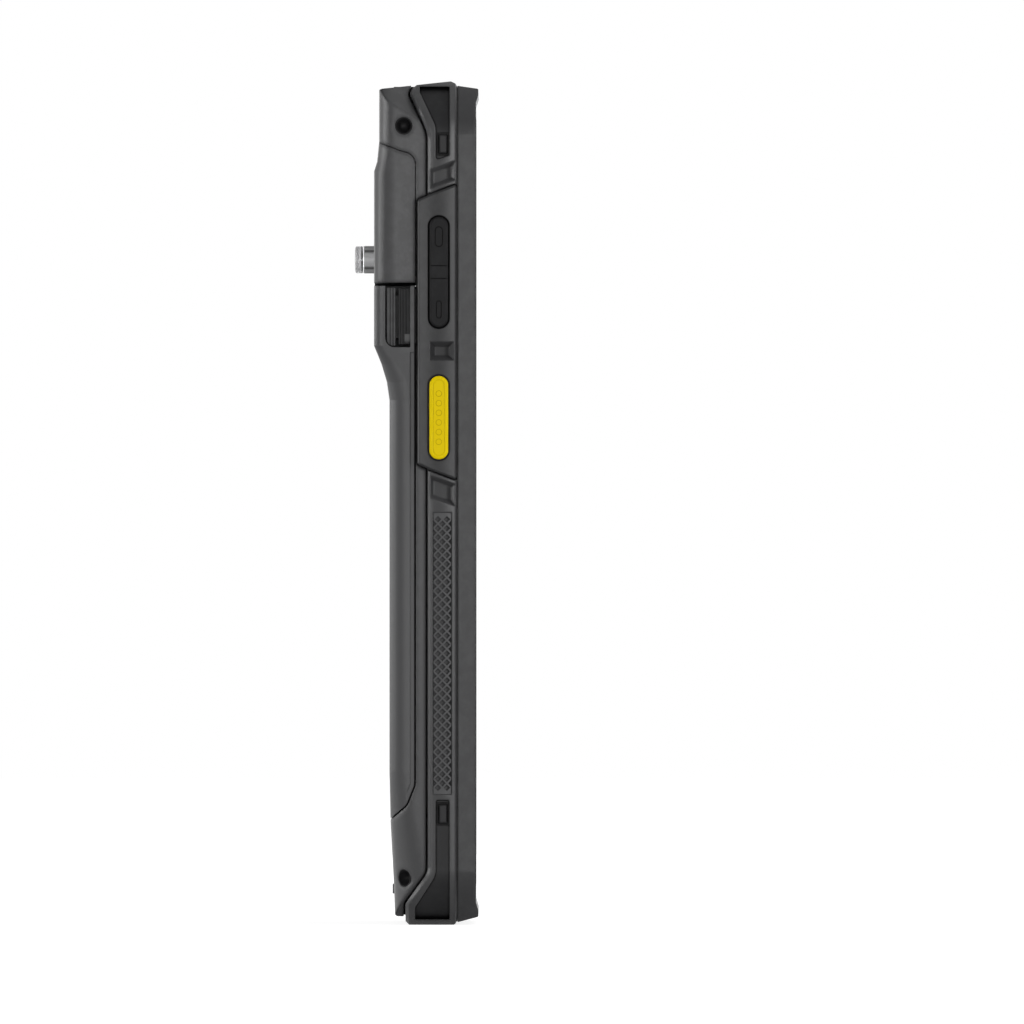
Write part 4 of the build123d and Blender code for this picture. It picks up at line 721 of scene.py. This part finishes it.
def side_places(node, sign):
    """Corners of a piece on one side, the X of its outer and inner face, and its middle Y and Z."""
    low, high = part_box(node)
    outer_x, inner_x = (high[0], low[0]) if sign > 0 else (low[0], high[0])
    return low, high, outer_x, inner_x, (low[1] + high[1]) / 2, (low[2] + high[2]) / 2


def block(low, high):
    """Box between two corners, in edit mode."""
    deselect()
    bpy.ops.mesh.primitive_cube_add(size=1, location=(low + high) / 2)
    made = bpy.context.object
    made.scale = high - low
    bpy.ops.object.transform_apply(location=True, rotation=True, scale=True)
    edit(made)
    return made


# ---------------------------------------------------------------- knurled grips
def knurled_grip(name, node, sign):
    """Rubber strip with diamond pits: a grid turned by 45 degrees, cut to the strip's outline."""
    low, high, outer_x, inner_x, middle_y, middle_z = side_places(node, sign)
    pitch = 1.234 * mm
    cells = 46
    land = 0.17 * mm
    pit_slope = 0.09 * mm
    pit_depth = 0.3 * mm
    deselect()
    bpy.ops.mesh.primitive_grid_add(
        x_subdivisions=cells, y_subdivisions=cells, size=cells * pitch, rotation=(0, radians(90), 0)
    )
    strip = bpy.context.object
    bpy.ops.object.transform_apply(location=True, rotation=True, scale=True)
    edit(strip)
    bpy.ops.mesh.select_all(action="SELECT")
    bpy.ops.transform.rotate(value=radians(45), orient_axis="X", center_override=(0, 0, 0))
    bpy.ops.transform.translate(value=(outer_x, middle_y, middle_z))
    if sign < 0:
        bpy.ops.mesh.flip_normals()
    half_cell = pitch * 0.71
    pick(strip, lambda co, normal: low[2] + half_cell < co.z < high[2] - half_cell)
    bpy.ops.mesh.inset(thickness=land, depth=0, use_individual=True)
    bpy.ops.mesh.inset(thickness=pit_slope, depth=-pit_depth, use_individual=True)
    for co, no in (
        ((0, low[1], 0), (0, 1, 0)),
        ((0, high[1], 0), (0, -1, 0)),
        ((0, 0, low[2]), (0, 0, 1)),
        ((0, 0, high[2]), (0, 0, -1)),
    ):
        bpy.ops.mesh.select_all(action="SELECT")
        bpy.ops.mesh.bisect(plane_co=co, plane_no=no, clear_inner=True)
    pick(strip, lambda co, edge: edge.is_boundary, "EDGE")
    bpy.ops.mesh.extrude_edges_move(TRANSFORM_OT_translate={"value": (inner_x - outer_x, 0, 0)})
    bpy.ops.transform.resize(value=(0, 1, 1), center_override=(inner_x, middle_y, middle_z))
    bpy.ops.mesh.edge_face_add()
    settle(strip, name, grip_rubber, "root", (node,), angle=25)


knurled_grip("knurled_grip_left", "grip_left", -1)
knurled_grip("knurled_grip_right", "grip_right", 1)


# ---------------------------------------------------------------- keys
key_flange = 0.5 * mm  # how far a scan key's flange reaches past its cap, all round
ring_crown = 0.015 * mm  # how far the rings stand out of the cap
ring_count = 6
ring_pitch = 1.88 * mm
ring_radius = 0.56 * mm
ring_wire = 0.075 * mm
ring_sunk = 0.03 * mm


def obround_block(outer_x, inner_x, middle_y, middle_z, width, length, sides=50):
    """Upright obround block, made from a short cylinder whose halves are moved apart."""
    deselect()
    bpy.ops.mesh.primitive_cylinder_add(
        vertices=sides,
        radius=width / 2,
        depth=abs(outer_x - inner_x),
        location=((outer_x + inner_x) / 2, middle_y, middle_z),
        rotation=(0, radians(90), 0),
    )
    cap = bpy.context.object
    bpy.ops.object.transform_apply(location=True, rotation=True, scale=True)
    edit(cap)
    run = (length - width) / 2
    pick(cap, lambda co, vert: co.z > middle_z + 0.0000001, "VERT")
    bpy.ops.transform.translate(value=(0, 0, run))
    pick(cap, lambda co, vert: co.z < middle_z - 0.0000001, "VERT")
    bpy.ops.transform.translate(value=(0, 0, -run))
    return cap


def ring_groove(cap, outer_x, sign, inset, width, sunk, soft=0.05 * mm):
    """Groove that follows the outline of the cap's outer face, set in from its edge."""
    pick(cap, lambda co, normal: normal.x * sign > 0.9999 and abs(co.x - outer_x) < 0.000002)
    bpy.ops.mesh.inset(thickness=inset, depth=0)
    bpy.ops.mesh.inset(thickness=soft, depth=-sunk)
    bpy.ops.mesh.inset(thickness=width, depth=0)
    bpy.ops.mesh.inset(thickness=soft, depth=sunk)


def round_rim(cap, outer_x, width, segments=4):
    """Rounded edge round the cap's outer face."""
    pick(cap, lambda co, edge: abs(co.x - outer_x) < 0.00002, "EDGE")
    bpy.ops.mesh.bevel(offset=width, segments=segments, affect="EDGES")


def sunk_ring(outer_x, y, z, radius, thick):
    """Fine ring let into a key's face, with only its crown out of it."""
    deselect()
    bpy.ops.mesh.primitive_torus_add(
        major_segments=32,
        minor_segments=10,
        major_radius=radius,
        minor_radius=thick,
        location=(outer_x, y, z),
        rotation=(0, radians(90), 0),
    )
    bead = bpy.context.object
    edit(bead)
    bpy.ops.mesh.select_all(action="SELECT")
    bpy.ops.transform.resize(value=(0.6, 1, 1), center_override=(outer_x, y, z))
    bpy.ops.object.mode_set(mode="OBJECT")
    return bead


def scan_key(name, node, sign):
    """Long rounded key with a groove inside its rim and a row of fine rings down its face."""
    low, high, outer_x, inner_x, middle_y, middle_z = side_places(node, sign)
    outer_x = outer_x - sign * ring_crown
    flange_width = high[1] - low[1]
    flange_length = high[2] - low[2]
    width = flange_width - 2 * key_flange
    length = flange_length - 2 * key_flange
    flange_x = inner_x + sign * 1.15 * mm
    flange_thick = 0.6 * mm
    rim = 0.42 * mm
    groove_inset = 0.26 * mm
    groove_width = 0.08 * mm
    groove_depth = 0.05 * mm
    cap = obround_block(outer_x, flange_x, middle_y, middle_z, width, length)
    round_rim(cap, outer_x, rim)
    ring_groove(cap, outer_x, sign, groove_inset, groove_width, groove_depth)
    pick(cap, lambda co, normal: normal.x * sign < -0.9)
    middle = (flange_x, middle_y, middle_z)
    bpy.ops.mesh.extrude_region_move(TRANSFORM_OT_translate={"value": (0, 0, 0)})
    bpy.ops.transform.resize(
        value=(1, flange_width / width, flange_length / length), center_override=middle
    )
    bpy.ops.mesh.extrude_region_move(TRANSFORM_OT_translate={"value": (-sign * flange_thick, 0, 0)})
    ring_x = outer_x - sign * ring_sunk
    first = (ring_count - 1) / 2
    rings = [
        sunk_ring(ring_x, middle_y, middle_z + (step - first) * ring_pitch, ring_radius, ring_wire)
        for step in range(ring_count)
    ]
    deselect()
    for ring in rings:
        ring.select_set(True)
    bpy.context.view_layer.objects.active = rings[0]
    bpy.ops.object.join()
    settle(rings[0], f"{name}_rings", key_ring_yellow, node, angle=60)
    settle(cap, name, key_yellow, node, (node,), angle=35)


def key_gap_shade(name, node, sign):
    """Black rubber lip that closes the gap between a scan key and its panel below its face; its black paints
    the shade in that gap.
    """
    low, high, outer_x, inner_x, middle_y, middle_z = side_places(node, sign)
    lip_x = outer_x - sign * 0.72 * mm
    lip_thick = 0.5 * mm
    gap = 0.26 * mm
    clearance = 0.03 * mm
    width = high[1] - low[1] - 2 * key_flange + 2 * gap
    length = high[2] - low[2] - 2 * key_flange + 2 * gap
    lip = obround_block(lip_x, lip_x - sign * lip_thick, middle_y, middle_z, width, length)
    pick(lip, lambda co, normal: abs(normal.x) > 0.9)
    bpy.ops.mesh.inset(thickness=gap - clearance, depth=0)
    bpy.ops.mesh.bridge_edge_loops()
    settle(lip, name, gasket_rubber, "root", angle=35)


key_gap_shade("key_gap_shade_left", "scan_key_left", -1)
key_gap_shade("key_gap_shade_right", "scan_key_right", 1)
scan_key("ringed_key_left", "scan_key_left", -1)
scan_key("ringed_key_right", "scan_key_right", 1)


# ---------------------------------------------------------------- black plugs that paint shade into the strap sockets
def strap_shade_plug(name, place, turn):
    """Black plug in a strap socket, with a dished, narrowing bore; its black paints the shade deep inside
    the socket.
    """
    deselect()
    radius = 1.68 * mm
    reach = 2.4 * mm
    recess = 0.12 * mm
    direction = Vector((cos(turn), sin(turn), 0))
    bpy.ops.mesh.primitive_cylinder_add(
        vertices=40,
        radius=radius,
        depth=reach,
        location=Vector(place) - direction * (reach / 2 + recess),
        rotation=(0, radians(90), turn),
    )
    shade_plug = bpy.context.object
    edit(shade_plug)
    pick(shade_plug, lambda co, normal: normal.z > 0.9)
    for inward, down in ((0.14, 0.0), (0.08, 0.35), (0.22, 0.7), (0.35, 0.55), (0.4, 0.25)):
        bpy.ops.mesh.inset(thickness=inward * mm, depth=-down * mm)
    settle(shade_plug, name, socket_shade_black, "root", angle=60)


for side, sign in (("left", -1), ("right", 1)):
    upper_turn = pi if sign < 0 else 0
    lower_turn = pi - radians(45) if sign < 0 else radians(45)
    strap_shade_plug(f"strap_liner_top_{side}", (sign * 37.6 * mm, depth_y(14.1), 156.0 * mm), upper_turn)
    strap_shade_plug(f"strap_liner_low_{side}", (sign * 35.55 * mm, depth_y(14.05), 9.2 * mm), lower_turn)


# ---------------------------------------------------------------- clear post on the back
def push(step, scale, middle):
    """Extrude what is selected along Y and scale the new face about the post's axis."""
    bpy.ops.mesh.extrude_region_move(TRANSFORM_OT_translate={"value": (0, step * mm, 0)})
    if scale != 1:
        bpy.ops.transform.resize(value=(scale, 1, scale), center_override=middle)


def post_cylinder(radius, start, end, middle):
    """Cylinder on the post's axis between two places along Y."""
    deselect()
    bpy.ops.mesh.primitive_cylinder_add(
        vertices=64,
        radius=radius,
        depth=end - start,
        location=(middle[0], (start + end) / 2, middle[2]),
        rotation=(radians(-90), 0, 0),
    )
    return bpy.context.object


def clear_post():
    """Flanged clear post in two steps with a fine neck between them and a softly rounded end."""
    low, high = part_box("lens_post")
    middle = ((low[0] + high[0]) / 2, low[1], (low[2] + high[2]) / 2)
    flange = 0.8  # mm along the post, like every step below
    tip = 2.2
    post = post_cylinder((high[0] - low[0]) / 2, low[1], low[1] + flange * mm, middle)
    bpy.ops.object.transform_apply(location=True, rotation=True, scale=True)
    edit(post)
    pick(post, lambda co, normal: normal.y > 0.9)
    bpy.ops.mesh.inset(thickness=0.5 * mm, depth=0)
    rest = (high[1] - low[1]) / mm - flange
    push(rest - tip, 1, middle)
    push(0.08, 0.97, middle)
    push(0.0, 0.93, middle)
    push(0.14, 1, middle)
    push(0.0, 1 / 0.93, middle)
    push(0.08, 1 / 0.97, middle)
    push(1.66, 1, middle)
    push(0.14, 0.985, middle)
    push(0.10, 0.94, middle)
    settle(post, "clear_post", post_clear, "root", ("lens_post",), angle=35)

    lens_middle = high[1] - 1.0 * mm
    lens_half = 0.225 * mm
    lens_piece = post_cylinder(2.58 * mm, lens_middle - lens_half, lens_middle + lens_half, middle)
    edit(lens_piece)
    for side in (1, -1):
        pick(lens_piece, lambda co, normal: normal.z * side > 0.9)
        for inward, out in ((0.3, 0.16), (0.5, 0.14), (0.6, 0.08), (0.6, 0.03)):
            bpy.ops.mesh.inset(thickness=inward * mm, depth=out * mm)
    settle(lens_piece, "post_lens", lens_clear, "root", angle=50)

    barrel = post_cylinder(2.71 * mm, low[1] + 0.9 * mm, high[1] - 1.85 * mm, middle)
    edit(barrel)
    pick(barrel, lambda co, normal: normal.z > 0.9)
    for inward, out in ((0.12, 0.08), (0.9, 0.0), (0.1, -0.3)):
        bpy.ops.mesh.inset(thickness=inward * mm, depth=out * mm)
    settle(barrel, "post_barrel", barrel_grey, "root", angle=35)


clear_post()


# ---------------------------------------------------------------- latch catches
def catch_plate(name, latch, sign):
    """Thin dark facing on the catch beside a latch, grooved, with a notch at its lower front."""
    low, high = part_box(latch)
    low_x, high_x = sorted((sign * 36.5 * mm, sign * 36.78 * mm))
    end_gap = 0.3 * mm
    front, rear = depth_y(12.95), depth_y(15.08)
    foot = low[2] + end_gap
    head = high[2] - end_gap
    plate = block(Vector((low_x, front, foot)), Vector((high_x, rear, head)))
    notch_top = foot + 2.0 * mm
    notch_rear = front + 1.0 * mm
    groove_depth = 0.1
    notch_depth = 0.2
    grooves = [front + step * mm for step in (0.62, 0.74, 1.22, 1.34, 1.72, 1.84)]
    cuts = [((0, y, 0), (0, 1, 0)) for y in (*grooves, notch_rear)]
    for place, turn in (*cuts, ((0, 0, notch_top), (0, 0, 1))):
        bpy.ops.mesh.select_all(action="SELECT")
        bpy.ops.mesh.bisect(plane_co=place, plane_no=turn)

    def in_notch(co):
        return co.z < notch_top and co.y < notch_rear

    def in_groove(co):
        return not in_notch(co) and any(a < co.y < b for a, b in zip(grooves[::2], grooves[1::2]))

    for within, sunk in ((in_groove, groove_depth), (in_notch, notch_depth)):
        pick(plate, lambda co, normal: normal.x * sign > 0.9 and within(co))
        bpy.ops.mesh.extrude_region_move(TRANSFORM_OT_translate={"value": (-sign * sunk * mm, 0, 0)})
    settle(plate, name, pad_dark, "root")


catch_plate("catch_plate_left", "latch_left", -1)
catch_plate("catch_plate_right", "latch_right", 1)


# ---------------------------------------------------------------- dark strip above the battery, painted shade in the slit
def slit_shade_strip():
    """Short black rubber strip that closes the slit above the battery, behind the frame; its black paints
    the shade inside the slit.
    """
    reach = 6 * mm
    foot, head = 125.12 * mm, 125.7 * mm
    strip = block(Vector((-reach, depth_y(11.75), foot)), Vector((reach, depth_y(12.05), head)))
    pick(strip, lambda co, edge: True, "EDGE")
    bpy.ops.mesh.bevel(offset=0.06 * mm, segments=2, affect="EDGES")
    settle(strip, "slit_shade_strip", gasket_rubber, "root", angle=40)


slit_shade_strip()


scene = bpy.context.scene
scene.view_settings.view_transform = "Standard"
